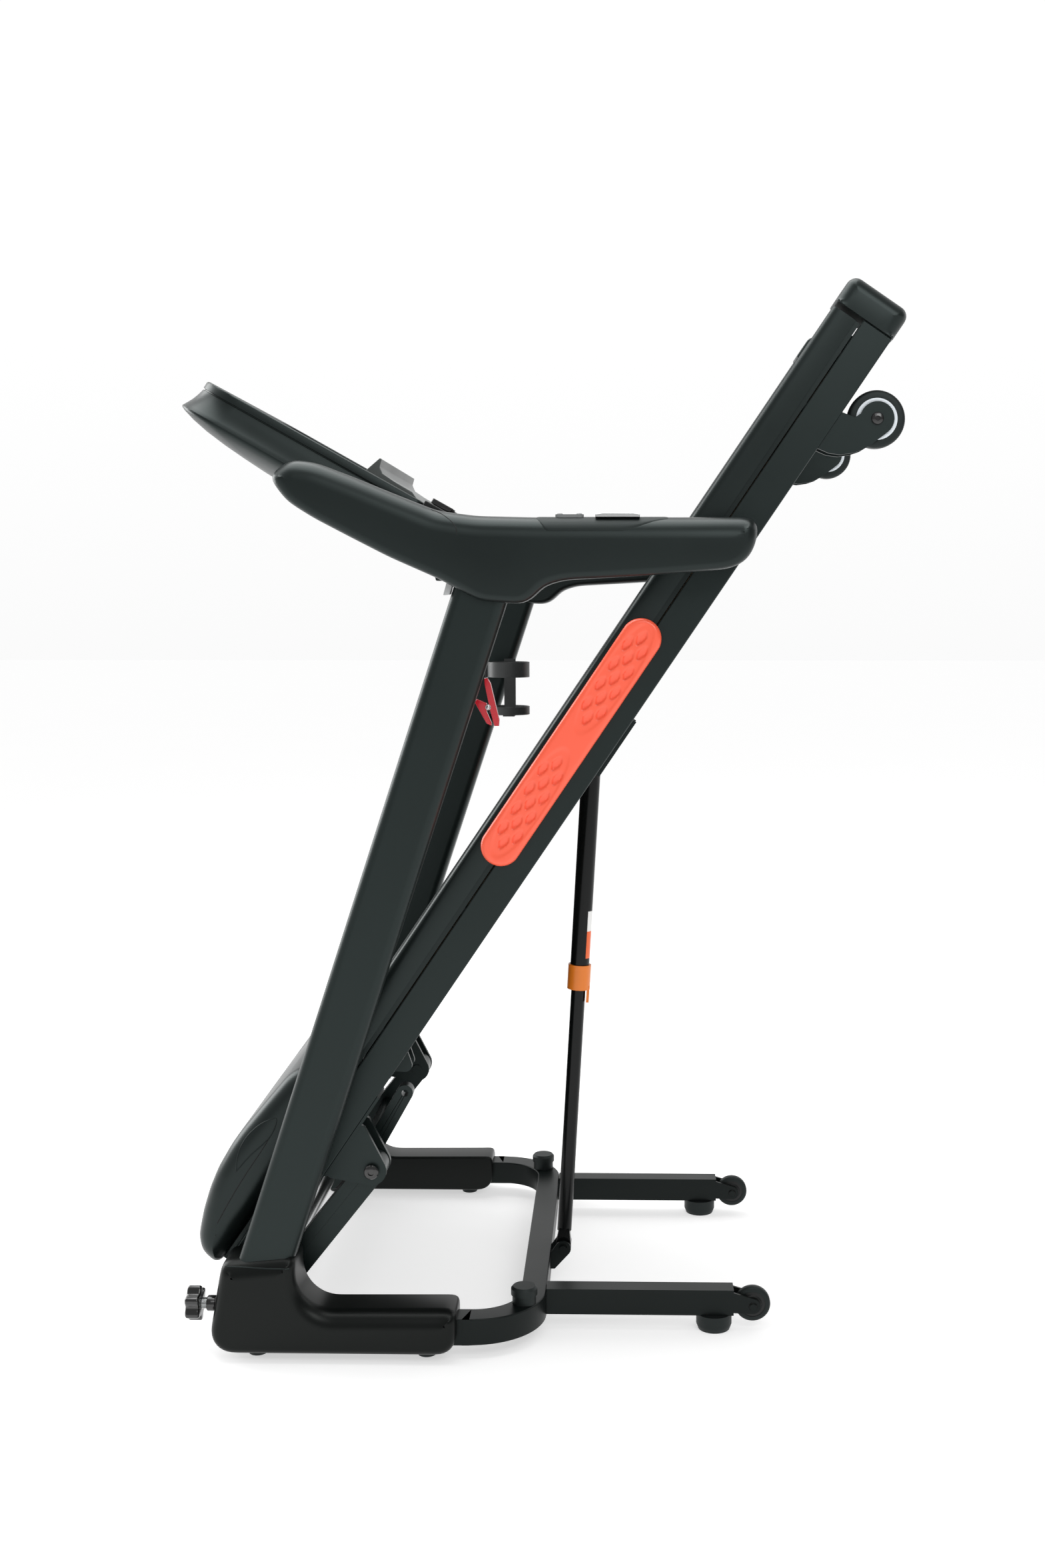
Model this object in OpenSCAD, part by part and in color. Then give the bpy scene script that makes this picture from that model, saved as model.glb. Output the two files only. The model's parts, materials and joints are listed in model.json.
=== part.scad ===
// Folding treadmill, stored with its deck raised. Millimetres, +X to the rear, +Z up,
// near side at -Y, origin on the floor at the middle of the whole footprint.

/* [Base] */
// Width over the two base covers
overall_w = 750; // [740:1:760]
// Height of the fold pivot above the floor
pivot_z = 50; // [48:1:52]
// Width of the steel base tube
base_tube_w = 37; // [34:1:38]
// Centre line of the rear cross tube, from the origin
cross_x = -13.5; // [-16:0.5:-12]
// Radius of a transport wheel on a rear leg
leg_wheel_r = 26; // [22:1:28]

/* [Uprights and handrails] */
// Lean of the uprights from vertical, in degrees
upright_lean = 18.3; // [18:0.1:18.6]
// Width of an upright along the machine
upright_w = 74; // [70:1:78]
// Thickness of an upright across the machine
upright_t = 44; // [40:1:44]
// Slope of the console, in degrees
console_slope = 29.2; // [28.8:0.1:29.6]

/* [Deck] */
// Angle of the stored deck above horizontal, in degrees
deck_angle = 56; // [56:0.5:57]
// Width over the deck frame rails
deck_w = 590; // [584:1:590]
// Length of the deck from the fold pivot to its rear end
deck_len = 1659; // [1650:1:1662]
// Height of a deck frame rail
rail_h = 46; // [44:1:48]
// Width of the running belt
belt_w = 430; // [400:5:440]
// Radius of the belt rollers
roller_r = 22; // [20:0.5:22]
// Radius of a deck caster
caster_r = 39; // [38:0.5:39]

/* [Strut] */
// Outer diameter of the upper strut tube
strut_upper_d = 29; // [28:0.5:30]
// Outer diameter of the lower strut tube
strut_lower_d = 22; // [20:0.5:22]

/* [Hidden] */
$fn = 48;

FIT = 0.05;             // radial running clearance
half_w = overall_w / 2;
pivot_x = -400;
side_in = 318;          // inner faces of the uprights and handrails
rail_out = deck_w / 2;
rail_w = 30;
rail_in = rail_out - rail_w;
under = 34;             // deck underside above the fold pivot, deck level
rail_top = under + rail_h;
deck_top = 124;
cap_len = 43;
rail_end = deck_len - cap_len - 1;
roller_t = 98;          // height of the roller axes above the fold pivot
front_roller_s = 357;
rear_roller_s = 1582;
belt_t = 2;
lift_s = 254;           // deck hinge on the lift frame
lift_t = -19;
strut_s = 905;          // strut head on the deck
strut_t = 46;
strut_y = -80;
foot_x = 24;            // strut foot on the base
foot_z = 62;
shaft_r = 10;
tube_z = 20;            // underside of the base tubes
tube_h = 38;
cover_in = 301;
steel = [0.20, 0.22, 0.22];
plastic = [0.13, 0.14, 0.14];
black = [0.06, 0.06, 0.07];

// Strut geometry in the stored position, worked out from its two ends
deck_u = [cos(deck_angle), sin(deck_angle)];
deck_n = [-sin(deck_angle), cos(deck_angle)];
strut_head = [pivot_x, pivot_z] + strut_s * deck_u + strut_t * deck_n;
strut_len = norm(strut_head - [foot_x, foot_z]);
strut_lean = atan2(strut_head[0] - foot_x, strut_head[1] - foot_z);

// ---- Helpers ----

// A side profile, drawn in X and Z, between two Y positions
module side(y0, y1) {
    translate([0, y1, 0]) rotate([90, 0, 0]) linear_extrude(y1 - y0) children();
}

// A round bar along Y
module bar_y(x, z, r, y0, y1) {
    translate([x, y0, z]) rotate([-90, 0, 0]) cylinder(r = r, h = y1 - y0);
}

// A ring along Y
module ring_y(x, z, r_out, r_in, y0, y1) {
    difference() {
        bar_y(x, z, r_out, y0, y1);
        bar_y(x, z, r_in, y0 - 1, y1 + 1);
    }
}

// A box from two corners
module block(a, b) {
    translate(a) cube(b - a);
}

// The same thing on both sides
module both_sides() {
    children();
    mirror([0, 1, 0]) children();
}

// Places a piece that is drawn as on the level deck, with the fold pivot at its origin
module on_deck() {
    translate([pivot_x, 0, pivot_z]) rotate([0, -deck_angle, 0]) children();
}

// Places a piece on the console: X down the slope to the rear, Z out of its top
module on_console() {
    translate([-208, 0, 1220]) rotate([0, console_slope, 0]) children();
}

// Places a piece on the strut: origin at its foot, Z towards its head
module on_strut() {
    translate([foot_x, strut_y, foot_z]) rotate([0, strut_lean, 0]) children();
}

// A rectangle with round corners, centred
module round_rect(w, h, r) {
    offset(r) square([w - 2 * r, h - 2 * r], center = true);
}

// ---- Base ----

bend_r = 85;
loop_y = 335;
bend_x = cross_x - bend_r;
wall = 2;

module loop_section(grow) {
    square([base_tube_w - 2 * grow, tube_h - 2 * grow], center = true);
}

module loop_straight(grow, extra) {
    translate([-424 - extra, -loop_y, tube_z + tube_h / 2])
        rotate([90, 0, 90]) linear_extrude(bend_x + 424 + extra) loop_section(grow);
}

module loop_bend(grow) {
    translate([bend_x, -loop_y + bend_r, tube_z + tube_h / 2])
        rotate([0, 0, -90]) rotate_extrude(angle = 90) translate([bend_r, 0]) loop_section(grow);
}

module loop_cross(grow) {
    translate([cross_x, loop_y - bend_r, tube_z + tube_h / 2])
        rotate([90, 0, 0]) linear_extrude(2 * (loop_y - bend_r)) loop_section(grow);
}

module base_loop() {
    color(steel) difference() {
        union() {
            both_sides() {
                loop_straight(0, 0);
                loop_bend(0);
            }
            loop_cross(0);
        }
        both_sides() {
            loop_straight(wall, 1);
            loop_bend(wall);
        }
        loop_cross(wall);
    }
}

leg_in = 224;
leg_out = 254;
leg_start = cross_x + base_tube_w / 2;
leg_end = 278;
leg_wheel_x = 306;
leg_wheel_z = 38;
leg_top = 62;
leg_low = 24;

module rear_legs() {
    color(steel) both_sides() difference() {
        union() {
            block([leg_start, -leg_out, leg_low], [leg_end, -leg_in, leg_top]);
            for (y = [-leg_out, -leg_in - 4])
                side(y, y + 4) hull() {
                    translate([leg_end - 4, leg_low + 4]) square([4, leg_top - leg_low - 8]);
                    translate([leg_wheel_x, leg_wheel_z]) circle(11);
                }
            bar_y(leg_wheel_x, leg_wheel_z, 5, -leg_out - 3, -leg_in + 3);
        }
        block([leg_start - 1, -leg_out + wall, leg_low + wall],
              [leg_end - 3, -leg_in - wall, leg_top - wall]);
    }
}

plate_out = 316;
plate_in = 308;

module base_brackets() {
    color(steel) {
        both_sides() difference() {
            side(-plate_out, -plate_in) hull() {
                translate([-428, tube_z]) square([58, 20]);
                translate([pivot_x, pivot_z]) circle(24);
            }
            bar_y(pivot_x, pivot_z, 13, -plate_out - 1, -plate_in + 1);
        }
        block([-446, -plate_in, tube_z], [-428, plate_in, 44]);
        both_sides() block([-446, -plate_out, tube_z], [-424, -plate_in, 44]);
        for (y = [strut_y - 19, strut_y + 15]) difference() {
            side(y, y + 4) hull() {
                translate([leg_start, 30]) square([6, 26]);
                translate([foot_x, foot_z]) circle(12);
            }
            bar_y(foot_x, foot_z, 6, y - 1, y + 5);
        }
        bar_y(foot_x, foot_z, 6, strut_y - 24, strut_y + 24);
    }
}

module pivot_bushes() {
    color([0.75, 0.72, 0.62]) both_sides()
        ring_y(pivot_x, pivot_z, 13, shaft_r + FIT, -plate_out, -plate_in);
}

module foot_pad(x, y, r, h) {
    translate([x, y, 0]) cylinder(r1 = r - 3, r2 = r, h = 8);
    translate([x, y, 8]) cylinder(r = r, h = h - 8);
}

module rubber_feet() {
    color(black) both_sides() {
        foot_pad(250, -239, 26, leg_low);
        foot_pad(-160, -loop_y, 16, tube_z);
        foot_pad(-400, -loop_y, 16, tube_z);
    }
}

bumper_turn = 60;        // place of a bumper round the bend, from the side tube
bumper_x = bend_x + bend_r * sin(bumper_turn);
bumper_y = loop_y - bend_r * (1 - cos(bumper_turn));

module corner_bumpers() {
    color(black) both_sides() translate([bumper_x, -bumper_y, tube_z + tube_h]) {
        cylinder(r = 17, h = 13);
        translate([0, 0, 13]) cylinder(r = 19, h = 9);
        translate([0, 0, 22]) cylinder(r1 = 19, r2 = 16, h = 3.5);
    }
}

// Side outline of a base cover: a tall box at the front and a low arm to the rear
module cover_outline(inset) {
    offset(delta = -inset) union() {
        hull() {
            translate([-430, 42]) circle(30);
            translate([-443, 132]) square([10, 10]);
            translate([-358, 141]) square([18, 10]);
            translate([-360, 12]) square([20, 10]);
        }
        hull() {
            translate([-346, 12]) square([6, 60]);
            translate([-140, 36]) circle(24);
            translate([-126, 66]) square([10, 8]);
        }
        difference() {
            translate([-342, 70]) square([52, 52]);
            translate([-288, 124]) circle(52);
        }
    }
}

module cover() {
    difference() {
        side(-half_w, -cover_in) cover_outline(0);
        side(-half_w + 3, -cover_in - 3) cover_outline(3);
        // Open underneath
        block([-440, -half_w + 4, 5], [-136, -cover_in - 4, 16]);
        // Mouth for the upright
        on_upright() translate([0, 0, 30]) linear_extrude(90)
            square([upright_w + 1, upright_t + 1], center = true);
        // Mouth for the base tube at the rear
        block([-150, -loop_y - base_tube_w / 2 - 1, tube_z - 1],
              [-100, -loop_y + base_tube_w / 2 + 1, tube_z + tube_h + 1]);
        // Way in for the fold pivot
        bar_y(pivot_x, pivot_z, 26, -cover_in - 4, -cover_in + 1);
        block([-460, -cover_in - 4, tube_z - 1], [-424, -cover_in + 1, 46]);
    }
}

module cover_left() {
    color(plastic) cover();
}

module cover_right() {
    color(plastic) mirror([0, 1, 0]) cover();
}

// ---- Uprights, handrails and console ----

upright_base = [-409, 62];
upright_len = 1075;

// Places a piece on the near upright: origin at its foot, Z up its lean
module on_upright() {
    translate([upright_base[0], -side_in - upright_t / 2, upright_base[1]])
        rotate([0, upright_lean, 0]) children();
}

module upright() {
    difference() {
        on_upright() difference() {
            linear_extrude(upright_len) round_rect(upright_w, upright_t, 14);
            translate([0, 0, -1]) linear_extrude(upright_len + 2)
                round_rect(upright_w - 2 * wall, upright_t - 2 * wall, 12);
        }
        // It stands on the base tube
        block([-460, -400, 0], [-340, -280, tube_z + tube_h]);
    }
}

module upright_left() {
    color(steel) upright();
}

module upright_right() {
    color(steel) mirror([0, 1, 0]) upright();
}

module frame_bolts() {
    color([0.08, 0.08, 0.08]) both_sides() {
        for (z = [66, 96]) bar_y(-398 + (z - 66) * 0.33, z, 6, -half_w + 4, -side_in - upright_t);
        for (z = [1085, 1105]) bar_y(-88 + (z - 1085) * 0.33, z, 5, -side_in + 3, -side_in + 8);
    }
}

// Flat top of the grips, and the two-way key on each
rail_top_z = 1169;
key_gap = 0.5;
key_ends = [30, 56];

module key_plan(grow) {
    hull() for (x = key_ends) translate([x, -347]) circle(6 + grow);
}

// Side outline of a handrail: arm, collar round the upright and grip
module handrail_outline() {
    offset(8) offset(-8) polygon([
        [-358, 1224], [-329, 1246], [-296, 1242], [-246, 1223], [-195, 1202], [-134, 1178],
        [-81, 1171], [0, rail_top_z], [286, rail_top_z], [294, 1160], [291, 1136], [282, 1116], [268, 1105],
        [250, 1100], [145, 1092], [35, 1086], [8, 1078], [-6, 1062], [-20, 1054], [-76, 1058],
        [-132, 1088], [-196, 1116], [-247, 1142], [-297, 1168], [-332, 1190]]);
}

module handrail() {
    difference() {
        side(-half_w, -side_in) handrail_outline();
        side(-half_w + 3.5, -side_in - 3.5) offset(delta = -3.5) handrail_outline();
        // Mouth for the upright
        on_upright() linear_extrude(1080) square([upright_w, upright_t + 20], center = true);
        // Seat of the handle key
        translate([0, 0, 1160]) linear_extrude(20) key_plan(key_gap);
    }
    // Inner wall that carries the collar
    side(-side_in - 0.01, -side_in + 3) polygon([
        [-140, 1094], [-20, 1070], [-6, 1072], [20, 1095], [30, 1160], [-120, 1165]]);
}

module handrail_left() {
    color(plastic) handrail();
}

module handrail_right() {
    color(plastic) mirror([0, 1, 0]) handrail();
}

module grip_panels() {
    color([0.17, 0.18, 0.18]) both_sides() difference() {
        side(-half_w + 9, -side_in - 9)
            polygon([[1, rail_top_z], [9, rail_top_z + 3], [166, rail_top_z + 3], [178, rail_top_z]]);
        translate([0, 0, 1160]) linear_extrude(20) key_plan(key_gap + 0.5);
        block([77, -361.5, 1160], [137, -332.5, 1180]);
    }
}

module pulse_plates() {
    color([0.75, 0.76, 0.76]) both_sides() side(-361, -333) polygon([
        [77.5, rail_top_z], [136.5, rail_top_z], [136.5, rail_top_z + 3.4], [127, rail_top_z + 5],
        [88, rail_top_z + 5.2], [77.5, rail_top_z + 3.6]]);
}

tray_w = 632;
tray_front = -303;
tray_r = 66;

// Plan of the console, with large round corners at the front
module console_plan(inset) {
    offset(delta = -inset) hull() {
        for (y = [-1, 1]) translate([tray_front + tray_r, y * (tray_w / 2 - tray_r)]) circle(tray_r);
        translate([40, -tray_w / 2]) square([20, tray_w]);
    }
}

module console_outline(inset) {
    offset(delta = -inset) polygon([
        [tray_front + 12, 0], [tray_front, -18], [tray_front, -48], [-276, -58], [-238, -66], [-150, -73],
        [6, -64], [44, -40], [60, -14], [60, 0]]);
}

module console_tray() {
    color(plastic) on_console() difference() {
        intersection() {
            side(-tray_w / 2, tray_w / 2) console_outline(0);
            translate([0, 0, -90]) linear_extrude(100) console_plan(0);
        }
        intersection() {
            side(-tray_w / 2 + 4, tray_w / 2 - 4) console_outline(4);
            translate([0, 0, -90]) linear_extrude(100) console_plan(4);
        }
        translate([0, 0, -6]) linear_extrude(10) console_plan(9);
    }
}

// Row of keys below the display
button_x = -105;

module console_panel() {
    color([0.10, 0.10, 0.11]) on_console() difference() {
        translate([0, 0, -12]) linear_extrude(4) intersection() {
            console_plan(12);
            translate([-286, -300]) square([326, 600]);
        }
        block([-232, -110, -14], [-132, 110, -6]);
        for (y = [-60, 60]) translate([button_x, y, -14]) cylinder(r = 16.5, h = 10);
        for (y = [-140, 140]) translate([button_x, y, -14]) cylinder(r = 12.5, h = 10);
    }
}

module display_lens() {
    color([0.03, 0.03, 0.04, 0.9]) on_console() block([-231.5, -109.5, -12], [-132.5, 109.5, -9]);
}

module console_board() {
    color([0.05, 0.25, 0.12]) on_console() block([-235, -150, -26], [-30, 150, -24.4]);
}

ledge_lip = 24;

module tablet_ledge() {
    color([0.45, 0.47, 0.47]) on_console() side(-190, 190) polygon([
        [-53, -7.7], [-41, ledge_lip], [-38, ledge_lip], [-35.5, 13], [-27, 6.5], [-8, 5], [22, 4.5],
        [33, -1], [34, -7.7]]);
}

// The key stands at the console's rear edge, on its slope
socket_x = [60.3, 104];
socket_y = [-314, -250];
key_x = [66, 98];
key_y = [-298, -266];

module key_socket() {
    color([0.15, 0.16, 0.16]) on_console() difference() {
        block([socket_x[0], socket_y[0], -26], [socket_x[1], socket_y[1], 4]);
        block([key_x[0] + 6, key_y[0] + 3, -8], [key_x[1] - 6, key_y[1] - 3, 5]);
    }
}

module safety_key() {
    color([0.75, 0.10, 0.12]) on_console() {
        block([key_x[0] + 6.5, key_y[0] + 3.5, -7.5], [key_x[1] - 6.5, key_y[1] - 3.5, 4.3]);
        block([key_x[0], key_y[0], 4.3], [key_x[1], key_y[1], 12]);
    }
}

module start_button() {
    color([0.15, 0.45, 0.25]) on_console() translate([button_x, 60, -16]) cylinder(r = 16, h = 10);
}

module stop_button() {
    color([0.70, 0.12, 0.12]) on_console() translate([button_x, -60, -16]) cylinder(r = 16, h = 10);
}

module speed_up_key() {
    color([0.35, 0.36, 0.37]) on_console() translate([button_x, 140, -16]) cylinder(r = 12, h = 10);
}

module speed_down_key() {
    color([0.35, 0.36, 0.37]) on_console() translate([button_x, -140, -16]) cylinder(r = 12, h = 10);
}

module handle_key() {
    translate([0, 0, 1161.5]) linear_extrude(11.3) key_plan(0);
    for (x = key_ends) translate([x, -347, 1172]) cylinder(r1 = 5, r2 = 3.5, h = 2);
}

module handle_key_left() {
    color([0.30, 0.31, 0.31]) handle_key();
}

module handle_key_right() {
    color([0.30, 0.31, 0.31]) mirror([0, 1, 0]) handle_key();
}

cage_x = -82;
cage_y = side_in - 36;

module cage_band(z, h) {
    translate([cage_x, cage_y, z]) difference() {
        cylinder(r = 36, h = h);
        translate([0, 0, -1]) cylinder(r = 33.5, h = h + 2);
    }
}

module bottle_cage() {
    color([0.25, 0.26, 0.26]) {
        cage_band(930, 26);
        difference() {
            cage_band(866, 14);
            block([cage_x - 40, cage_y - 40, 860], [cage_x - 20, cage_y + 10, 890]);
        }
        block([cage_x - 10, side_in - 3.6, 862], [cage_x + 10, side_in, 960]);
        block([cage_x - 10, cage_y - 4, 862], [cage_x + 10, side_in - 1, 866]);
    }
}

// ---- Safety cord and clip ----

cord_d = 3;
// It leaves the rear face of the key's head square to that face
cord_start = [-208, -282, 1220] + 98 * [cos(console_slope), 0, -sin(console_slope)]
    + 8 * [sin(console_slope), 0, cos(console_slope)];
cord_points = [
    cord_start, cord_start + 6 * [cos(console_slope), 0, -sin(console_slope)],
    [-108, -282, 1171], [-104, -282, 1162], [-101, -282, 1150],
    [-98, -282, 1135], [-94, -282, 1105], [-89, -282, 1075], [-85, -282, 1045], [-81, -283, 1015],
    [-78, -283, 990], [-75.1, -283, 960], [-75, -283, 952]];

function unit(v) = v / norm(v);
function heading(i) = unit(cord_points[min(i + 1, len(cord_points) - 1)] - cord_points[max(i - 1, 0)]);
function ring_point(i, a) =
    let (t = heading(i), s = unit(cross(t, [0, 1, 0])), w = cross(t, s))
    cord_points[i] + cord_d / 2 * (cos(a) * s + sin(a) * w);

module safety_cord() {
    sides = 8;
    rings = len(cord_points);
    points = [for (i = [0:rings - 1]) for (k = [0:sides - 1]) ring_point(i, k * 360 / sides)];
    skin = [for (i = [0:rings - 2]) for (k = [0:sides - 1])
        [i * sides + k, i * sides + (k + 1) % sides, (i + 1) * sides + (k + 1) % sides, (i + 1) * sides + k]];
    ends = [[for (k = [sides - 1:-1:0]) k], [for (k = [0:sides - 1]) (rings - 1) * sides + k]];
    color(black) polyhedron(points = points, faces = concat(skin, ends));
}

clip_top = [-75, 952];

module on_clip() {
    translate([clip_top[0], -283, clip_top[1]]) rotate([0, -10, 0]) children();
}

module clip_body() {
    color([0.80, 0.10, 0.14]) on_clip() {
        side(-5, 5) polygon([[-2, 0], [2, 0], [5, -8], [8, -60], [6, -68], [0, -67], [-2, -45], [-3, -8]]);
        bar_y(-4, -40, 2, -7, 7);
    }
}

module clip_lever() {
    color([0.80, 0.10, 0.14]) on_clip() difference() {
        side(-5, 5) polygon([[-21, -30], [-18, -26], [-5, -34.5], [-7.2, -46], [-3.4, -62], [-4, -66], [-10, -62]]);
        bar_y(-4, -40, 2 + FIT, -6, 6);
    }
}

// ---- Wheels and knob ----

module leg_wheel() {
    color(black) rotate([90, 0, 0]) rotate_extrude() polygon([
        [5 + FIT, -9], [14, -9], [14, -7], [leg_wheel_r - 3, -7], [leg_wheel_r, -4],
        [leg_wheel_r, 4], [leg_wheel_r - 3, 7], [14, 7], [14, 9], [5 + FIT, 9]]);
}

module leg_wheel_left() {
    translate([leg_wheel_x, -(leg_in + leg_out) / 2, leg_wheel_z]) leg_wheel();
}

module leg_wheel_right() {
    translate([leg_wheel_x, (leg_in + leg_out) / 2, leg_wheel_z]) leg_wheel();
}

module front_knob() {
    translate([-498, -337, 72]) rotate([0, 90, 0]) {
        color(black) linear_extrude(20) union() {
            circle(20);
            for (a = [0:60:300]) rotate(a) translate([20, 0]) circle(5.5);
        }
        color([0.70, 0.70, 0.70]) translate([0, 0, 20]) cylinder(r = 8, h = 8);
        color(black) translate([0, 0, 28]) cylinder(r = 11, h = 12);
    }
}

// ---- Fold pivot and lift frame ----

arm_out = 281;
arm_in = 251;

module pivot_shaft() {
    color([0.55, 0.56, 0.57]) bar_y(pivot_x, pivot_z, shaft_r, -plate_out + 1, plate_out - 1);
}

lever_s = 350;
lever_t = 0;
lever_r = 12;
lever_y = [-210, -190];
hinge_r = 8;
// Bar that ties the two arms together, ahead of the deck hinge
tie_s = 170;
tie_t = -13;

module lift_arm() {
    difference() {
        side(-arm_out, -arm_in) hull() {
            circle(20);
            translate([lift_s, lift_t]) circle(20);
        }
        bar_y(0, 0, shaft_r + FIT, -arm_out - 1, -arm_in + 1);
        bar_y(lift_s, lift_t, hinge_r + FIT, -arm_out - 1, -arm_in + 1);
    }
}

// Arm that the lift actuator pushes on
module lift_lever() {
    difference() {
        side(lever_y[0], lever_y[1]) hull() {
            translate([tie_s, tie_t]) circle(14);
            translate([lever_s, lever_t]) circle(lever_r);
        }
        bar_y(lever_s, lever_t, 5, lever_y[0] - 1, lever_y[1] + 1);
    }
}

module lift_frame() {
    color(steel) on_deck() {
        both_sides() lift_arm();
        lift_lever();
        bar_y(tie_s, tie_t, 13, -arm_in - 0.01, arm_in + 0.01);
    }
}

// ---- Deck frame ----

module deck_rail() {
    difference() {
        block([24, -rail_out, under], [rail_end, -rail_in, rail_top]);
        block([23, -rail_out + wall, under + wall], [rail_end + 1, -rail_in - wall, rail_top - wall]);
    }
}

module deck_rail_left() {
    color(steel) on_deck() deck_rail();
}

module deck_rail_right() {
    color(steel) on_deck() mirror([0, 1, 0]) deck_rail();
}

caster_s = 1518.6;
caster_t = -10;
ear_gap = 14;
caster_y = 276;

module caster_fork() {
    for (y = [-caster_y - ear_gap - 4, -caster_y + ear_gap])
        side(y, y + 4) union() {
            translate([caster_s, caster_t]) circle(23);
            polygon([
                [1441, under], [1499, under], [1503, 16], [1512, 12], [caster_s, caster_t],
                [1509, -31], [1488, -24], [1473, -17], [1462, -8.5], [1451, 4], [1444, 18]]);
        }
    bar_y(caster_s, caster_t, 5, -caster_y - ear_gap - 5, -caster_y + ear_gap + 5);
}

module lift_ears() {
    for (y = [-rail_out + 4, -249]) difference() {
        side(y, y + (y < -260 ? 7 : 8)) hull() {
            translate([212, under - 10]) square([90, 6]);
            translate([lift_s, lift_t]) circle(21);
        }
        bar_y(lift_s, lift_t, hinge_r, y - 1, y + 9);
    }
    block([211, -rail_out, under - 4], [350, -241, under]);
    bar_y(lift_s, lift_t, hinge_r, -rail_out - 1, -239);
}

module deck_crossmembers() {
    color(steel) on_deck() {
        for (s = [420, strut_s + 41, 1400])
            block([s, -rail_in, under + 2], [s + 40, rail_in, under + 32]);
        both_sides() caster_fork();
        both_sides() lift_ears();
        roller_axle(front_roller_s);
        roller_axle(rear_roller_s);
        strut_channel();
        lever_bracket();
    }
}

// Fixed axle of a belt roller, on a block on each rail
module roller_axle(s) {
    bar_y(s, roller_t, axle_r, -rail_in + 4, rail_in - 4);
    both_sides() block([s - 12, -rail_in - 4, rail_top], [s + 12, -rail_in + 14, roller_t + 12]);
}

// Two plates from the cross member, with a pin from each for the strut head
module strut_channel() {
    for (y = [strut_y - 21, strut_y + 17])
        block([strut_s - 18, y, 20], [strut_s + 81, y + 4, under + 30]);
    for (y = [strut_y - 25, strut_y + 17])
        bar_y(strut_s, strut_t, 6, y, y + 8);
}

// Bracket beside the end of the lift lever
module lever_bracket() {
    for (y = [-218, -188])
        side(y, y + 5) hull() {
            translate([372, under - 4]) square([34, 6]);
            translate([388, 23]) circle(10);
        }
    block([372, -262, under - 2], [406, -183, under + 2]);
}

board_low = 101;
board_top = roller_t + roller_r - 0.4;

module running_board() {
    color([0.35, 0.27, 0.18]) on_deck()
        block([388, -rail_out + 6, board_low], [1545, rail_out - 6, board_top]);
}

module belt_profile(r) {
    hull() {
        translate([front_roller_s, roller_t]) circle(r, $fn = 96);
        translate([rear_roller_s, roller_t]) circle(r, $fn = 96);
    }
}

module running_belt() {
    color([0.10, 0.10, 0.10]) on_deck() side(-belt_w / 2, belt_w / 2) difference() {
        belt_profile(roller_r + 0.3 + belt_t);
        belt_profile(roller_r + 0.3);
    }
}

module deck_cushions() {
    color([0.10, 0.10, 0.10]) on_deck() both_sides()
        for (s = [430, 640, 850, 1060, 1270, 1480])
            translate([s, -rail_out + 16, rail_top]) cylinder(r = 9, h = board_low - rail_top);
}

rail_start = 331;        // just behind the hood
lip_t = 88;              // lower edge of the outer lip

module foot_rails() {
    color([0.15, 0.16, 0.16]) on_deck() both_sides() {
        block([rail_start, -rail_out - 0.5, board_top + 0.2], [rail_end, -belt_w / 2 - 4, board_top + 3.6]);
        block([rail_start, -rail_out - 0.5, lip_t], [rail_end, -rail_out + 3, board_top + 0.3]);
        block([rail_start, -rail_out + 3, rail_top + 1], [rail_end, -rail_out + 5, board_top + 0.3]);
    }
}

pad_s = [720, 1123];
pad_t = 88;
pad_r = 28;

module side_pad() {
    side(-rail_out - 11, -rail_out - 0.6) hull() {
        translate([pad_s[0] + pad_r, pad_t]) circle(pad_r);
        translate([pad_s[1] - pad_r, pad_t]) circle(pad_r);
    }
}

module side_pad_left() {
    color([1.00, 0.33, 0.22]) on_deck() side_pad();
}

module side_pad_right() {
    color([1.00, 0.33, 0.22]) on_deck() mirror([0, 1, 0]) side_pad();
}

module end_caps() {
    color(plastic) on_deck() both_sides() difference() {
        side(-rail_out - 3, -belt_w / 2 - 6) hull() {
            translate([rail_end + 0.5, under - 2]) square([1, deck_top - under + 4]);
            translate([deck_len - 14, under + 12]) circle(14);
            translate([deck_len - 14, deck_top - 12]) circle(14);
        }
        block([rail_end, -rail_out + 1, under + 3], [deck_len - 5, -belt_w / 2 - 9, deck_top - 4]);
    }
}

// ---- Motor bay ----

module hood_outline(inset) {
    offset(delta = -inset) offset(10) offset(-10) polygon([
        [3, 86], [10, 120], [26, 135], [40, 141], [62, 150], [95, 160], [126, 166], [165, 168.5],
        [190, 168], [250, 162], [296, 157], [318, 149], [330, 122], [330, 84]]);
}

hood_half = 294;

module motor_hood() {
    color(plastic) on_deck() difference() {
        side(-hood_half, hood_half) hood_outline(0);
        side(-hood_half + 3, hood_half - 3) hood_outline(3);
        block([5, -hood_half + 3, 78], [323, hood_half - 3, 96]);
        // Way out for the belt and the foot rails
        block([324, -hood_half - 1, 78], [335, hood_half + 1, 125]);
    }
}

module motor_pan() {
    color(black) on_deck() difference() {
        block([14, -rail_in + 1, under + 2], [318, rail_in - 1, 90]);
        block([17, -rail_in + 4, under + 5], [340, rail_in - 4, 95]);
    }
}

motor_s = 150;
motor_t = 100;

module drive_motor() {
    color([0.25, 0.25, 0.26]) on_deck() {
        difference() {
            bar_y(motor_s, motor_t, 46, -80, 120);
            bar_y(motor_s, motor_t, 8 + FIT, -81, -20);
        }
        block([motor_s - 40, -60, under + 5], [motor_s + 40, 100, motor_t - 35]);
    }
}

drive_y = -224;
pulley_r = 18;           // belt seat turned on the end of the front roller

module motor_pulley() {
    color([0.6, 0.6, 0.62]) on_deck() {
        bar_y(motor_s, motor_t, 8, drive_y - 12, -24);
        bar_y(motor_s, motor_t, 14, drive_y - 10, drive_y + 10);
        bar_y(motor_s, motor_t, 42, -108, -92);
    }
}

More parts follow.
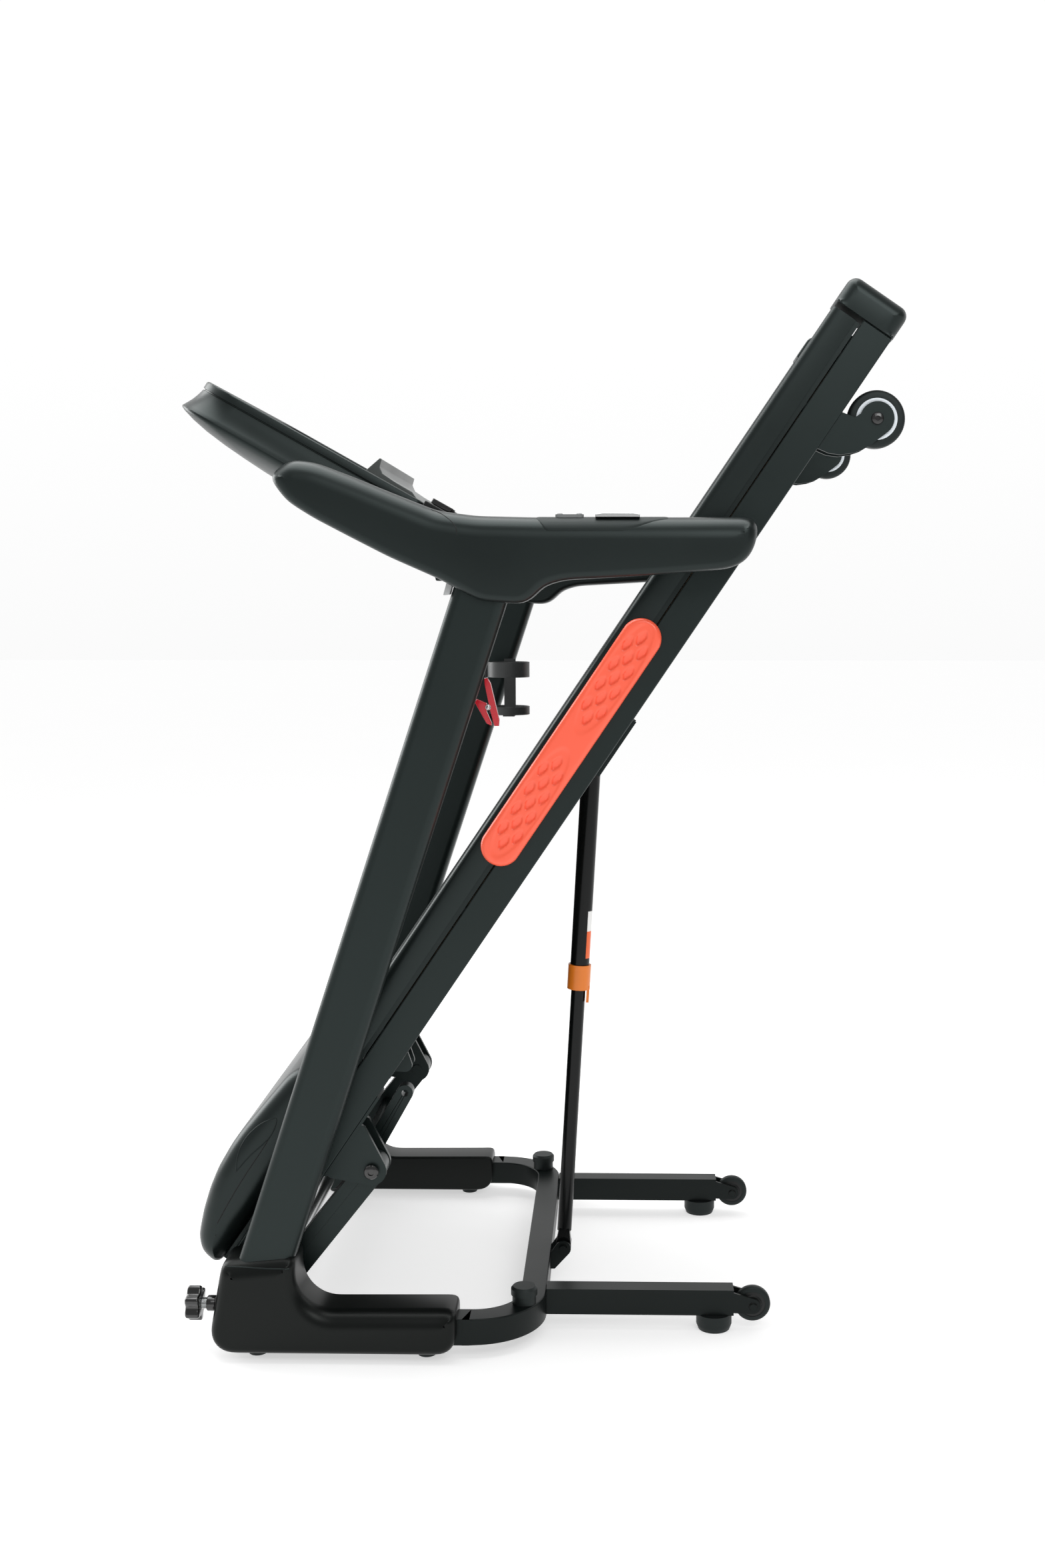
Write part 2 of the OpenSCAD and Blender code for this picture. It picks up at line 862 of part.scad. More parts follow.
module drive_belt() {
    color(black) on_deck() side(drive_y - 8, drive_y + 8) difference() {
        hull() {
            translate([motor_s, motor_t]) circle(16.3);
            translate([front_roller_s, roller_t]) circle(pulley_r + 2.3);
        }
        hull() {
            translate([motor_s, motor_t]) circle(14.3);
            translate([front_roller_s, roller_t]) circle(pulley_r + 0.3);
        }
    }
}

roller_half = 217;
axle_r = 8;

module front_roller() {
    color([0.6, 0.6, 0.62]) on_deck() difference() {
        union() {
            bar_y(front_roller_s, roller_t, roller_r, -belt_w / 2 - 0.6, roller_half);
            bar_y(front_roller_s, roller_t, pulley_r, -233, -belt_w / 2);
        }
        bar_y(front_roller_s, roller_t, axle_r + FIT, -234, 233);
    }
}

module rear_roller() {
    color([0.6, 0.6, 0.62]) on_deck() difference() {
        bar_y(rear_roller_s, roller_t, roller_r, -roller_half, roller_half);
        bar_y(rear_roller_s, roller_t, axle_r + FIT, -233, 233);
    }
}

module controller_board() {
    color([0.05, 0.25, 0.12]) on_deck() {
        block([60, 140, under + 8], [200, 240, under + 10]);
        block([80, 160, under + 10], [180, 200, under + 40]);
    }
}

module caster() {
    rotate([90, 0, 0]) rotate_extrude($fn = 72) polygon([
        [5 + FIT, -12], [13, -12], [13, -9], [26, -9], [28, -12], [caster_r - 3, -12],
        [caster_r, -8], [caster_r, 8], [caster_r - 3, 12], [28, 12], [26, 9], [13, 9],
        [13, 12], [5 + FIT, 12]]);
}

module caster_left() {
    color(black) on_deck() translate([caster_s, -caster_y, caster_t]) caster();
}

module caster_right() {
    color(black) on_deck() translate([caster_s, caster_y, caster_t]) caster();
}

// ---- Strut ----

lower_len = 460;
upper_start = strut_len - 356;
eye_r = 12;

module strut_lower() {
    color(black) on_strut() difference() {
        union() {
            translate([0, 0, 24]) cylinder(d = strut_lower_d, h = lower_len - 24);
            side(-11, 11) hull() {
                circle(eye_r);
                translate([-8, 12]) square([16, 16]);
            }
        }
        bar_y(0, 0, 6 + FIT, -12, 12);
    }
}

module strut_upper() {
    color(black) on_strut() difference() {
        union() {
            translate([0, 0, upper_start]) cylinder(d = strut_upper_d, h = 356 - 22);
            side(-11, 11) hull() {
                translate([0, strut_len]) circle(eye_r);
                translate([-10, strut_len - 26]) square([20, 6]);
            }
        }
        translate([0, 0, upper_start - 1]) cylinder(d = strut_lower_d + 2 * FIT, h = 336);
        bar_y(0, strut_len, 7.5, -12, 12);
    }
}

module strut_collar() {
    color([0.90, 0.45, 0.12]) on_strut() difference() {
        union() {
            translate([0, 0, upper_start - 2]) cylinder(d = strut_upper_d + 6, h = 38);
            block([8, -7, upper_start - 22], [17, 7, upper_start + 4]);
        }
        translate([0, 0, upper_start - 23]) cylinder(d = strut_upper_d + 2 * FIT, h = 64);
    }
}

base_loop();
rear_legs();
base_brackets();
rubber_feet();
corner_bumpers();
pivot_bushes();
cover_left();
cover_right();
upright_left();
upright_right();
frame_bolts();
handrail_left();
handrail_right();
grip_panels();
pulse_plates();
console_tray();
console_panel();
display_lens();
console_board();
tablet_ledge();
key_socket();
bottle_cage();
safety_cord();
clip_body();
clip_lever();
safety_key();
start_button();
stop_button();
speed_up_key();
speed_down_key();
handle_key_left();
handle_key_right();
leg_wheel_left();
leg_wheel_right();
front_knob();
pivot_shaft();
lift_frame();
deck_rail_left();
deck_rail_right();
deck_crossmembers();
running_board();
running_belt();
deck_cushions();
foot_rails();
side_pad_left();
side_pad_right();
end_caps();
motor_hood();
motor_pan();
drive_motor();
motor_pulley();
drive_belt();
front_roller();
rear_roller();
controller_board();
caster_left();
caster_right();
strut_lower();
strut_upper();
strut_collar();
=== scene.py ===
"""Looks of the folding treadmill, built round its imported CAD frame. Metres, +X to the rear, +Z up."""
import json
import math

import bmesh
import bpy
import numpy as np
from mathutils import Matrix, Vector, geometry
from mathutils.bvhtree import BVHTree


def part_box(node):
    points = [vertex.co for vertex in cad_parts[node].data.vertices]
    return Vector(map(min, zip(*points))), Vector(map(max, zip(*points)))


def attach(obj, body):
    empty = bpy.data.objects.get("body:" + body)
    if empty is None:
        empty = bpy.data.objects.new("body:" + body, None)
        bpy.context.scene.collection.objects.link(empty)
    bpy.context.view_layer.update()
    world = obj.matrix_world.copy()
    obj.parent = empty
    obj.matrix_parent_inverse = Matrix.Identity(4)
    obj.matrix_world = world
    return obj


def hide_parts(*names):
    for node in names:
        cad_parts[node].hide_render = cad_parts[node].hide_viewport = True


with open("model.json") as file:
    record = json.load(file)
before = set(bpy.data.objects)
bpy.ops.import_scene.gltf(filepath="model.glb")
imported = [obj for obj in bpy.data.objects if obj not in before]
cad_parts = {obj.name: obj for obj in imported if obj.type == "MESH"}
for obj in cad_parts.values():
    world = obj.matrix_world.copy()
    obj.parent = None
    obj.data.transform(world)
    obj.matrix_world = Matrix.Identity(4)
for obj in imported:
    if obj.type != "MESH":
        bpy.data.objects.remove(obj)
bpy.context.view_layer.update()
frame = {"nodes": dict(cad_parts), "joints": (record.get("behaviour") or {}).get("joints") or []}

IMAGE_LONG = 2352           # the picture's long side, for the lens
SENSOR = 36.0               # millimetres on that side
DECK_ANGLE = math.radians(56)
CONSOLE_SLOPE = math.radians(29.2)
LABEL_R = 0.01454           # just outside the strut's upper tube
HALF_WIDTH = 0.375          # half the machine's width, which no drawn line passes
MM = 0.001

joints = {j["name"]: j for j in frame["joints"]}
PIVOT = Vector(joints["fold"]["pos_m"])
DECK_U = Vector((math.cos(DECK_ANGLE), 0, math.sin(DECK_ANGLE)))
DECK_N = Vector((-math.sin(DECK_ANGLE), 0, math.cos(DECK_ANGLE)))


# ---------------------------------------------------------------- camera, light and floor

def make_camera():
    """The photograph's viewpoint: beside the machine, about chest high, looking slightly down."""
    focal_px = 2533.7
    yaw, pitch = 0.0223, 0.1053
    data = bpy.data.cameras.new("camera")
    data.sensor_width = SENSOR
    data.lens = focal_px / IMAGE_LONG * SENSOR
    data.shift_x = -0.0402
    cam = bpy.data.objects.new("camera", data)
    right = Vector((math.cos(yaw), math.sin(yaw), 0))
    ahead = Vector((-math.sin(yaw) * math.cos(pitch), math.cos(yaw) * math.cos(pitch), -math.sin(pitch)))
    up = right.cross(ahead)
    turn = Matrix((right, up, -ahead)).transposed().to_4x4()
    cam.matrix_world = Matrix.Translation((0.115, -2.6217, 1.0522)) @ turn
    bpy.context.scene.collection.objects.link(cam)
    bpy.context.scene.camera = cam


def area_light(name, place, target, size, power, colour=(1, 1, 1)):
    """A soft rectangular light that faces target."""
    data = bpy.data.lights.new(name, "AREA")
    data.shape = "RECTANGLE"
    data.size, data.size_y = size
    data.energy = power
    data.color = colour
    light = bpy.data.objects.new(name, data)
    light.location = place
    light.rotation_euler = (Vector(target) - Vector(place)).to_track_quat("-Z", "Y").to_euler()
    bpy.context.scene.collection.objects.link(light)


def make_studio():
    """A pale floor, a pale surround that is brighter behind the machine, and large soft lights."""
    scene = bpy.context.scene
    scene.view_settings.view_transform = "Standard"
    world = bpy.data.worlds.new("studio")
    world.use_nodes = True
    nodes, links = world.node_tree.nodes, world.node_tree.links
    background = nodes["Background"]
    place = nodes.new("ShaderNodeTexCoord")
    split = nodes.new("ShaderNodeSeparateXYZ")
    links.new(place.outputs["Generated"], split.inputs["Vector"])
    spread = nodes.new("ShaderNodeMapRange")
    spread.interpolation_type = "SMOOTHSTEP"
    spread.inputs["From Min"].default_value = -0.7
    spread.inputs["From Max"].default_value = 0.5
    spread.inputs["To Min"].default_value = 0.42
    spread.inputs["To Max"].default_value = 1.0
    links.new(split.outputs["Y"], spread.inputs["Value"])
    level = spread.outputs["Result"]
    # Dimmer towards the rear of the machine, and a little dimmer below the horizon
    for axis, start, end, low, high in (("X", 0.35, 0.92, 1.0, 0.4), ("Z", -0.3, 0.3, 0.92, 1.02)):
        fade = nodes.new("ShaderNodeMapRange")
        fade.interpolation_type = "SMOOTHSTEP"
        fade.inputs["From Min"].default_value = start
        fade.inputs["From Max"].default_value = end
        fade.inputs["To Min"].default_value = low
        fade.inputs["To Max"].default_value = high
        links.new(split.outputs[axis], fade.inputs["Value"])
        product = nodes.new("ShaderNodeMath")
        product.operation = "MULTIPLY"
        links.new(level, product.inputs[0])
        links.new(fade.outputs["Result"], product.inputs[1])
        level = product.outputs["Value"]
    links.new(level, background.inputs["Strength"])
    background.inputs["Color"].default_value = (1.0, 1.0, 1.0, 1)
    scene.world = world
    centre = (0, 0, 0.75)
    area_light("key", (0.9, -3.4, 3.2), centre, (2.6, 1.8), 24)
    area_light("upper", (1.3, -2.6, 2.6), (0.45, -0.3, 1.15), (1.6, 1.2), 16)
    area_light("front_strip", (-2.8, 1.2, 1.9), centre, (1.6, 3.0), 70)
    area_light("rear_strip", (2.8, 1.2, 2.0), centre, (0.8, 2.4), 10)
    area_light("top", (-0.4, 0.2, 3.4), centre, (2.4, 2.4), 62)
    bpy.ops.mesh.primitive_plane_add(size=60, location=(0, 0, 0))
    floor = bpy.context.object
    floor.name = "floor"
    paper = material("floor_paper", (0.62, 0.62, 0.62), 0.95, tone=0.004, tone_scale=1.5, specular=0.0,
                     rough_spread=0.02)
    shader = paper.node_tree.nodes["Principled BSDF"]
    shader.inputs["Emission Color"].default_value = (1, 1, 1, 1)
    shader.inputs["Emission Strength"].default_value = 0.55
    floor.data.materials.append(paper)


# ---------------------------------------------------------------- materials

def material(name, colour, rough, metal=0.0, grain=0.0, grain_scale=900.0, tone=0.12, tone_scale=6.0,
             coat=0.0, specular=0.5, rough_spread=0.08, tint=(1, 1, 1)):
    """A procedural finish: slow tone changes, roughness changes and a fine moulded or sprayed grain."""
    mat = bpy.data.materials.new(name)
    mat.use_nodes = True
    nodes, links = mat.node_tree.nodes, mat.node_tree.links
    shader = nodes["Principled BSDF"]
    shader.inputs["Metallic"].default_value = metal
    shader.inputs["Coat Weight"].default_value = coat
    shader.inputs["Specular IOR Level"].default_value = specular
    shader.inputs["Specular Tint"].default_value = (*tint, 1)
    place = nodes.new("ShaderNodeTexCoord")
    slow = nodes.new("ShaderNodeTexNoise")
    slow.inputs["Scale"].default_value = tone_scale
    slow.inputs["Detail"].default_value = 4
    links.new(place.outputs["Object"], slow.inputs["Vector"])
    ramp = nodes.new("ShaderNodeValToRGB")
    ramp.color_ramp.elements[0].position = 0.3
    ramp.color_ramp.elements[1].position = 0.7
    ramp.color_ramp.elements[0].color = [c * (1 - tone) for c in colour] + [1]
    ramp.color_ramp.elements[1].color = [min(1, c * (1 + tone)) for c in colour] + [1]
    links.new(slow.outputs["Fac"], ramp.inputs["Fac"])
    links.new(ramp.outputs["Color"], shader.inputs["Base Color"])
    fine = nodes.new("ShaderNodeTexNoise")
    fine.inputs["Scale"].default_value = grain_scale
    fine.inputs["Detail"].default_value = 2
    links.new(place.outputs["Object"], fine.inputs["Vector"])
    spread = nodes.new("ShaderNodeMapRange")
    spread.inputs["To Min"].default_value = max(0.02, rough - rough_spread)
    spread.inputs["To Max"].default_value = min(1.0, rough + rough_spread)
    links.new(slow.outputs["Fac"], spread.inputs["Value"])
    links.new(spread.outputs["Result"], shader.inputs["Roughness"])
    if grain:
        bump = nodes.new("ShaderNodeBump")
        bump.inputs["Strength"].default_value = grain
        bump.inputs["Distance"].default_value = 0.0004
        links.new(fine.outputs["Fac"], bump.inputs["Height"])
        links.new(bump.outputs["Normal"], shader.inputs["Normal"])
    return mat


def belt_material(name, colour):
    """Black belt cover with a fine pressed lattice."""
    mat = material(name, colour, 0.75, grain=0.0)
    nodes, links = mat.node_tree.nodes, mat.node_tree.links
    place = nodes.new("ShaderNodeTexCoord")
    cells = nodes.new("ShaderNodeTexVoronoi")
    cells.inputs["Scale"].default_value = 320
    bump = nodes.new("ShaderNodeBump")
    bump.inputs["Strength"].default_value = 0.5
    bump.inputs["Distance"].default_value = 0.0008
    links.new(place.outputs["Object"], cells.inputs["Vector"])
    links.new(cells.outputs["Distance"], bump.inputs["Height"])
    links.new(bump.outputs["Normal"], nodes["Principled BSDF"].inputs["Normal"])
    return mat


def wood_material(name, colour):
    """Phenolic-faced board with a faint fibre."""
    mat = material(name, colour, 0.5, grain=0.1, grain_scale=60, tone=0.3, tone_scale=3)
    nodes, links = mat.node_tree.nodes, mat.node_tree.links
    place = nodes.new("ShaderNodeTexCoord")
    fibre = nodes.new("ShaderNodeTexWave")
    fibre.inputs["Scale"].default_value = 30
    fibre.inputs["Distortion"].default_value = 6
    bump = nodes.new("ShaderNodeBump")
    bump.inputs["Strength"].default_value = 0.15
    bump.inputs["Distance"].default_value = 0.0005
    links.new(place.outputs["Object"], fibre.inputs["Vector"])
    links.new(fibre.outputs["Fac"], bump.inputs["Height"])
    links.new(bump.outputs["Normal"], nodes["Principled BSDF"].inputs["Normal"])
    return mat


def make_materials():
    """One finish for each material slot of the record, and a few for details."""
    return {
        "frame_steel": material("powder_coat", (0.0062, 0.0094, 0.0090), 0.36, grain=0.05, grain_scale=1100,
                                specular=0.33, tint=(0.84, 1.0, 0.98)),
        # Painted shade: darker, less glossy copies of the powder coat and the moulded plastic, for the base
        # parts near the floor that get less light
        "shaded_base_steel": material("shaded_base_powder_coat", (0.0040, 0.0055, 0.0053), 0.36, grain=0.04, grain_scale=1100,
                               specular=0.2, tint=(0.9, 1.0, 0.98)),
        "shaded_base_plastic": material("shaded_base_plastic", (0.0030, 0.0038, 0.0036), 0.33, grain=0.01, grain_scale=1500,
                                 specular=0.19, tint=(0.95, 1.0, 0.97)),
        "dark_steel": material("gloss_black_paint", (0.0028, 0.0034, 0.0034), 0.24, grain=0.01, coat=0.04,
                               specular=0.2),
        "bright_steel": material("zinc_steel", (0.62, 0.63, 0.63), 0.3, metal=1.0, grain=0.05, tone=0.05),
        "bronze": material("sintered_bronze", (0.5, 0.36, 0.16), 0.45, metal=1.0, grain=0.1),
        "cover_plastic": material("moulded_plastic", (0.0048, 0.0068, 0.0066), 0.34, grain=0.01,
                                  grain_scale=1500, specular=0.34, tint=(0.84, 1.0, 0.98)),
        "trim_plastic": material("trim_plastic", (0.0046, 0.0058, 0.0056), 0.46, grain=0.12,
                                 grain_scale=900, specular=0.4),
        "ledge_plastic": material("ledge_plastic", (0.085, 0.095, 0.092), 0.35, grain=0.03),
        "key_plastic": material("key_plastic", (0.20, 0.21, 0.21), 0.4, grain=0.1),
        "start_green": material("start_green", (0.03, 0.26, 0.08), 0.35, grain=0.06),
        "stop_red": material("stop_red", (0.45, 0.02, 0.02), 0.35, grain=0.06),
        "lens": material("smoked_lens", (0.004, 0.004, 0.005), 0.08, coat=0.5, rough_spread=0.02),
        "board_green": material("solder_mask", (0.01, 0.10, 0.04), 0.3, grain=0.3, grain_scale=300),
        "rubber": material("black_rubber", (0.0055, 0.0068, 0.0068), 0.5, grain=0.08, grain_scale=700,
                           specular=0.35, tint=(0.86, 1.0, 0.98)),
        "belt_rubber": belt_material("belt_cover", (0.012, 0.012, 0.012)),
        "board_wood": wood_material("faced_board", (0.22, 0.13, 0.06)),
        "pad_orange": material("soft_touch_orange", (1.0, 0.125, 0.062), 0.30, grain=0.02, tone=0.02,
                               specular=0.5),
        "collar_orange": material("collar_orange", (0.78, 0.20, 0.015), 0.34, grain=0.05, tone=0.04),
        "clip_red": material("clip_red", (0.55, 0.006, 0.018), 0.25, grain=0.05, tone=0.05, coat=0.4),
        "cord_black": material("braided_cord", (0.012, 0.012, 0.012), 0.7, grain=0.6, grain_scale=2500),
        "knob_black": material("gloss_black", (0.006, 0.006, 0.006), 0.16, coat=0.5),
        "motor_metal": material("motor_can", (0.30, 0.30, 0.31), 0.42, metal=0.8, grain=0.1),
        "cage_plastic": material("cage_plastic", (0.035, 0.038, 0.038), 0.42, grain=0.06),
        "grip_plastic": material("grip_plastic", (0.0042, 0.0056, 0.0054), 0.5, grain=0.05, grain_scale=900,
                                 specular=0.3, tint=(0.84, 1.0, 0.98)),
        "label_orange": material("label_orange", (0.85, 0.13, 0.02), 0.4, tone=0.02),
        "lug_grey": material("lug_grey", (0.42, 0.43, 0.43), 0.4, grain=0.05),
        "white": material("label_white", (0.82, 0.82, 0.80), 0.4, tone=0.02),
        "ring_white": material("hub_white", (0.75, 0.80, 0.84), 0.35, tone=0.02),
        "void": material("shadow_black", (0.003, 0.003, 0.003), 0.7, tone=0.05),
    }


# ---------------------------------------------------------------- mesh helpers

def new_piece(name, verts, faces, mat, body, slot=None, replaces=(), sharp=40):
    """A mesh in the row frame that rides on a CAD body."""
    mesh = bpy.data.meshes.new(name)
    mesh.from_pydata([tuple(v) for v in verts], [], faces)
    work = bmesh.new()
    work.from_mesh(mesh)
    bmesh.ops.remove_doubles(work, verts=work.verts, dist=1e-7)
    bmesh.ops.recalc_face_normals(work, faces=work.faces)
    work.to_mesh(mesh)
    work.free()
    mesh.update()
    obj = bpy.data.objects.new(name, mesh)
    bpy.context.scene.collection.objects.link(obj)
    mesh.materials.append(mat)
    mesh.shade_smooth()
    mesh.set_sharp_from_angle(angle=math.radians(sharp))
    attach(obj, body)
    if replaces:
        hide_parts(*replaces)
    return obj


def soften(node, width, mat, segments=3):
    """Rounds the edges of a CAD node with modifiers, and gives it its finish."""
    obj = frame["nodes"][node]
    obj.data.materials.clear()
    obj.data.materials.append(mat)
    for polygon in obj.data.polygons:
        polygon.use_smooth = True
    if width:
        weld = obj.modifiers.new("weld", "WELD")
        weld.merge_threshold = 1e-6
        bevel = obj.modifiers.new("bevel", "BEVEL")
        bevel.width = width
        bevel.segments = segments
        bevel.limit_method = "ANGLE"
        bevel.angle_limit = math.radians(35)
        bevel.use_clamp_overlap = True
        normal = obj.modifiers.new("normal", "WEIGHTED_NORMAL")
        normal.keep_sharp = False
    return obj


def loft(rings, cap_low=True, cap_high=True):
    """Faces over a list of rings that have the same number of points."""
    verts = [p for ring in rings for p in ring]
    n = len(rings[0])
    faces = []
    for i in range(len(rings) - 1):
        for k in range(n):
            a, b = i * n + k, i * n + (k + 1) % n
            faces.append((a, b, b + n, a + n))
    if cap_low:
        faces.append(tuple(range(n - 1, -1, -1)))
    if cap_high:
        faces.append(tuple((len(rings) - 1) * n + k for k in range(n)))
    return verts, faces


def end_loop(node, low=True):
    """The outline, as points (x, z), of a CAD node's flat end face at its lowest or highest Y."""
    mesh = frame["nodes"][node].data
    lo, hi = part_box(node)
    level = lo.y if low else hi.y
    count = {}
    for face in mesh.polygons:
        points = [mesh.vertices[i].co for i in face.vertices]
        if all(abs(p.y - level) < 2e-5 for p in points):
            keys = [(round(p.x, 6), round(p.z, 6)) for p in points]
            for a, b in zip(keys, keys[1:] + keys[:1]):
                edge = frozenset((a, b))
                if len(edge) == 2:
                    count[edge] = count.get(edge, 0) + 1
    nearby = {}
    for edge, times in count.items():
        if times == 1:
            a, b = tuple(edge)
            nearby.setdefault(a, []).append(b)
            nearby.setdefault(b, []).append(a)
    best = []
    seen = set()
    for start in sorted(nearby):
        if start in seen:
            continue
        loop, here, last = [start], start, None
        seen.add(start)
        while True:
            ahead = [p for p in nearby[here] if p != last and p not in seen]
            if not ahead:
                break
            last, here = here, ahead[0]
            seen.add(here)
            loop.append(here)
        if len(loop) > 2 and outline_length(loop) > outline_length(best):
            best = loop
    return best


def outline_length(loop):
    return sum(math.dist(a, b) for a, b in zip(loop, loop[1:] + loop[:1])) if loop else 0


def resample(loop, step):
    """The same outline with even steps, turning anticlockwise."""
    area = sum(a[0] * b[1] - b[0] * a[1] for a, b in zip(loop, loop[1:] + loop[:1]))
    if area < 0:
        loop = loop[::-1]
    total = outline_length(loop)
    n = max(24, round(total / step))
    ring = loop + [loop[0]]
    out, walked, i = [], 0.0, 0
    for k in range(n):
        goal = total * k / n
        while walked + math.dist(ring[i], ring[i + 1]) < goal:
            walked += math.dist(ring[i], ring[i + 1])
            i += 1
        part = (goal - walked) / max(1e-12, math.dist(ring[i], ring[i + 1]))
        out.append(tuple(ring[i][c] + part * (ring[i + 1][c] - ring[i][c]) for c in (0, 1)))
    return out


def relax(loop, times):
    """Softens an outline's corners a little."""
    for _ in range(times):
        loop = [tuple((loop[i - 1][c] + 2 * loop[i][c] + loop[(i + 1) % len(loop)][c]) / 4 for c in (0, 1))
                for i in range(len(loop))]
    return loop


def inward(loop):
    """Inward normals of an outline, and how far each point can move in before it meets the middle."""
    ring = np.array(loop)
    tangent = np.roll(ring, -2, axis=0) - np.roll(ring, 2, axis=0)
    tangent /= np.maximum(1e-12, np.linalg.norm(tangent, axis=1))[:, None]
    normal = np.stack([-tangent[:, 1], tangent[:, 0]], axis=1)
    start, run = ring, np.roll(ring, -1, axis=0) - ring
    size = np.maximum(1e-18, (run ** 2).sum(axis=1))
    limit = np.zeros(len(ring))
    open_still = np.ones(len(ring), bool)
    depth = 0.0
    while depth < 0.03 and open_still.any():
        depth += 0.0005
        place = ring + normal * depth
        away = place[:, None, :] - start[None]
        part = np.clip((away * run[None]).sum(axis=2) / size[None], 0, 1)
        gap = np.linalg.norm(away - part[..., None] * run[None], axis=2).min(axis=1)
        open_still &= gap > depth * 0.96 - 0.0002
        limit[open_still] = depth
    return ring, normal, limit


def edge_rings(loop, y_edge, direction, radius, steps):
    """Rings of a quarter-round edge, from the face at y_edge outwards to the full outline.

    radius is one number; or three, for the parts of the outline that face down, sideways and up; or a
    direction (x, z) and two numbers, for the part that faces that way and for the rest."""
    ring, normal, limit = inward(loop)
    if isinstance(radius, tuple):
        if len(radius) == 4:
            radius = np.interp(-normal @ np.array(radius[:2]), (0.3, 0.9), (radius[3], radius[2]))
        else:
            radius = np.interp(-normal[:, 1], (-1, 0, 1), radius)
        for _ in range(6):
            radius = (np.roll(radius, 1) + 2 * radius + np.roll(radius, -1)) / 4
    rings = []
    for k in range(steps + 1):
        inset = np.minimum(limit, radius * (1 - math.sin(math.pi / 2 * k / steps)))
        drop = radius - np.sqrt(np.maximum(0, radius ** 2 - (radius - inset) ** 2))
        flat = ring + normal * inset[:, None]
        rings.append([(x, y_edge + direction * d, z) for (x, z), d in zip(flat, drop)])
    return rings


def cap_faces(ring, first):
    """Triangles that close a ring whose points start at index first; a concave outline is handled."""
    flat = [Vector((p[0], p[2])) for p in ring]
    n = len(flat)
    out = geometry.delaunay_2d_cdt(flat, [(k, (k + 1) % n) for k in range(n)], [], 1, 1e-7)
    faces = []
    for face in out[2]:
        if all(out[3][k] for k in face):
            faces.append(tuple(first + out[3][k][0] for k in face))
    return faces


def pillow(loop, y_low, y_high, r_low, r_high, steps=7):
    """A plate with the given outline and quarter-round edges at both Y ends."""
    rings = edge_rings(loop, y_low, 1, r_low, steps) + edge_rings(loop, y_high, -1, r_high, steps)[::-1]
    verts, faces = loft(rings, False, False)
    faces += cap_faces(rings[0], 0)
    faces += cap_faces(rings[-1], len(verts) - len(loop))
    return verts, faces


def soft_copy(name, node, mat, body, slot, r_low, r_high, step=0.005, smooth=2, low=True, replaces=True):
    """A plate-like CAD node again, with soft moulded edges."""
    lo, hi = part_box(node)
    loop = relax(resample(end_loop(node, low), step), smooth)
    verts, faces = pillow(loop, lo.y, hi.y, r_low, r_high)
    return new_piece(name, verts, faces, mat, body, slot, [node] if replaces else ())


def lathe(profile, centre, turns=64):
    """Rings round a line along Y, from points (radius, y offset)."""
    rings = []
    for k in range(turns):
        a = 2 * math.pi * k / turns
        rings.append([(centre[0] + r * math.cos(a), centre[1] + y, centre[2] + r * math.sin(a))
                      for r, y in profile])
    n = len(profile)
    verts = [p for ring in rings for p in ring]
    faces = []
    for i in range(turns):
        j = (i + 1) % turns
        for k in range(n):
            m = (k + 1) % n
            faces.append((i * n + k, i * n + m, j * n + m, j * n + k))
    return verts, faces


def tube_curve(name, points, radius, mat, body, resolution=4):
    """A round wire along points."""
    data = bpy.data.curves.new(name, "CURVE")
    data.dimensions = "3D"
    data.bevel_depth = radius
    data.bevel_resolution = resolution
    data.use_fill_caps = True
    spline = data.splines.new("POLY")
    spline.points.add(len(points) - 1)
    for target, p in zip(spline.points, points):
        target.co = (*p, 1)
    obj = bpy.data.objects.new(name, data)
    bpy.context.scene.collection.objects.link(obj)
    data.materials.append(mat)
    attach(obj, body)
    return obj


def deck_point(s, t, y):
    """A point on the deck: s along it from the fold pivot, t above the pivot on the level deck."""
    p = PIVOT + DECK_U * s + DECK_N * t
    return Vector((p.x, y, p.z))


def console_point(x, y, z):
    """A point in the console's own frame, in millimetres: x down its slope, z out of its top."""
    c, s = math.cos(CONSOLE_SLOPE), math.sin(CONSOLE_SLOPE)
    return Vector((-0.208 + (x * c + z * s) * MM, y * MM, 1.220 + (-x * s + z * c) * MM))


# ---------------------------------------------------------------- deck

def smooth_step(v):
    v = min(1.0, max(0.0, v))
    return v * v * (3 - 2 * v)


def pad_depth(s, t):
    """Depth of the pressed pattern of a side pad: two shallow ovals with three rows of leaning drops each."""
    depth = 0.0
    for centre in (822, 1030):
        ds, dt = s - centre, t - 88
        oval = (abs(ds) / 94) ** 2.2 + (abs(dt) / 22.5) ** 2.2
        depth += 1.1 * smooth_step((1 - oval) * 5)
        rows = [(k * 33, 0) for k in range(-2, 3)]
        rows += [((k - 1.5) * 33, row) for k in range(4) for row in (-12.0, 12.0)]
        for a, b in rows:
            along, across = ds - a + 0.35 * (dt - b), dt - b
            q = (abs(along) / 12.5) ** 1.45 + (abs(across) / 6.4) ** 1.45
            if q < 1:
                # Deepest near the lower front wall, which is steep; it runs out gently the other way
                lean = 0.5 - 0.5 * max(-1.0, min(1.0, along / 10))
                depth += 4.2 * smooth_step((1 - q) * 2.4) * (0.45 + 0.55 * lean)
    return depth


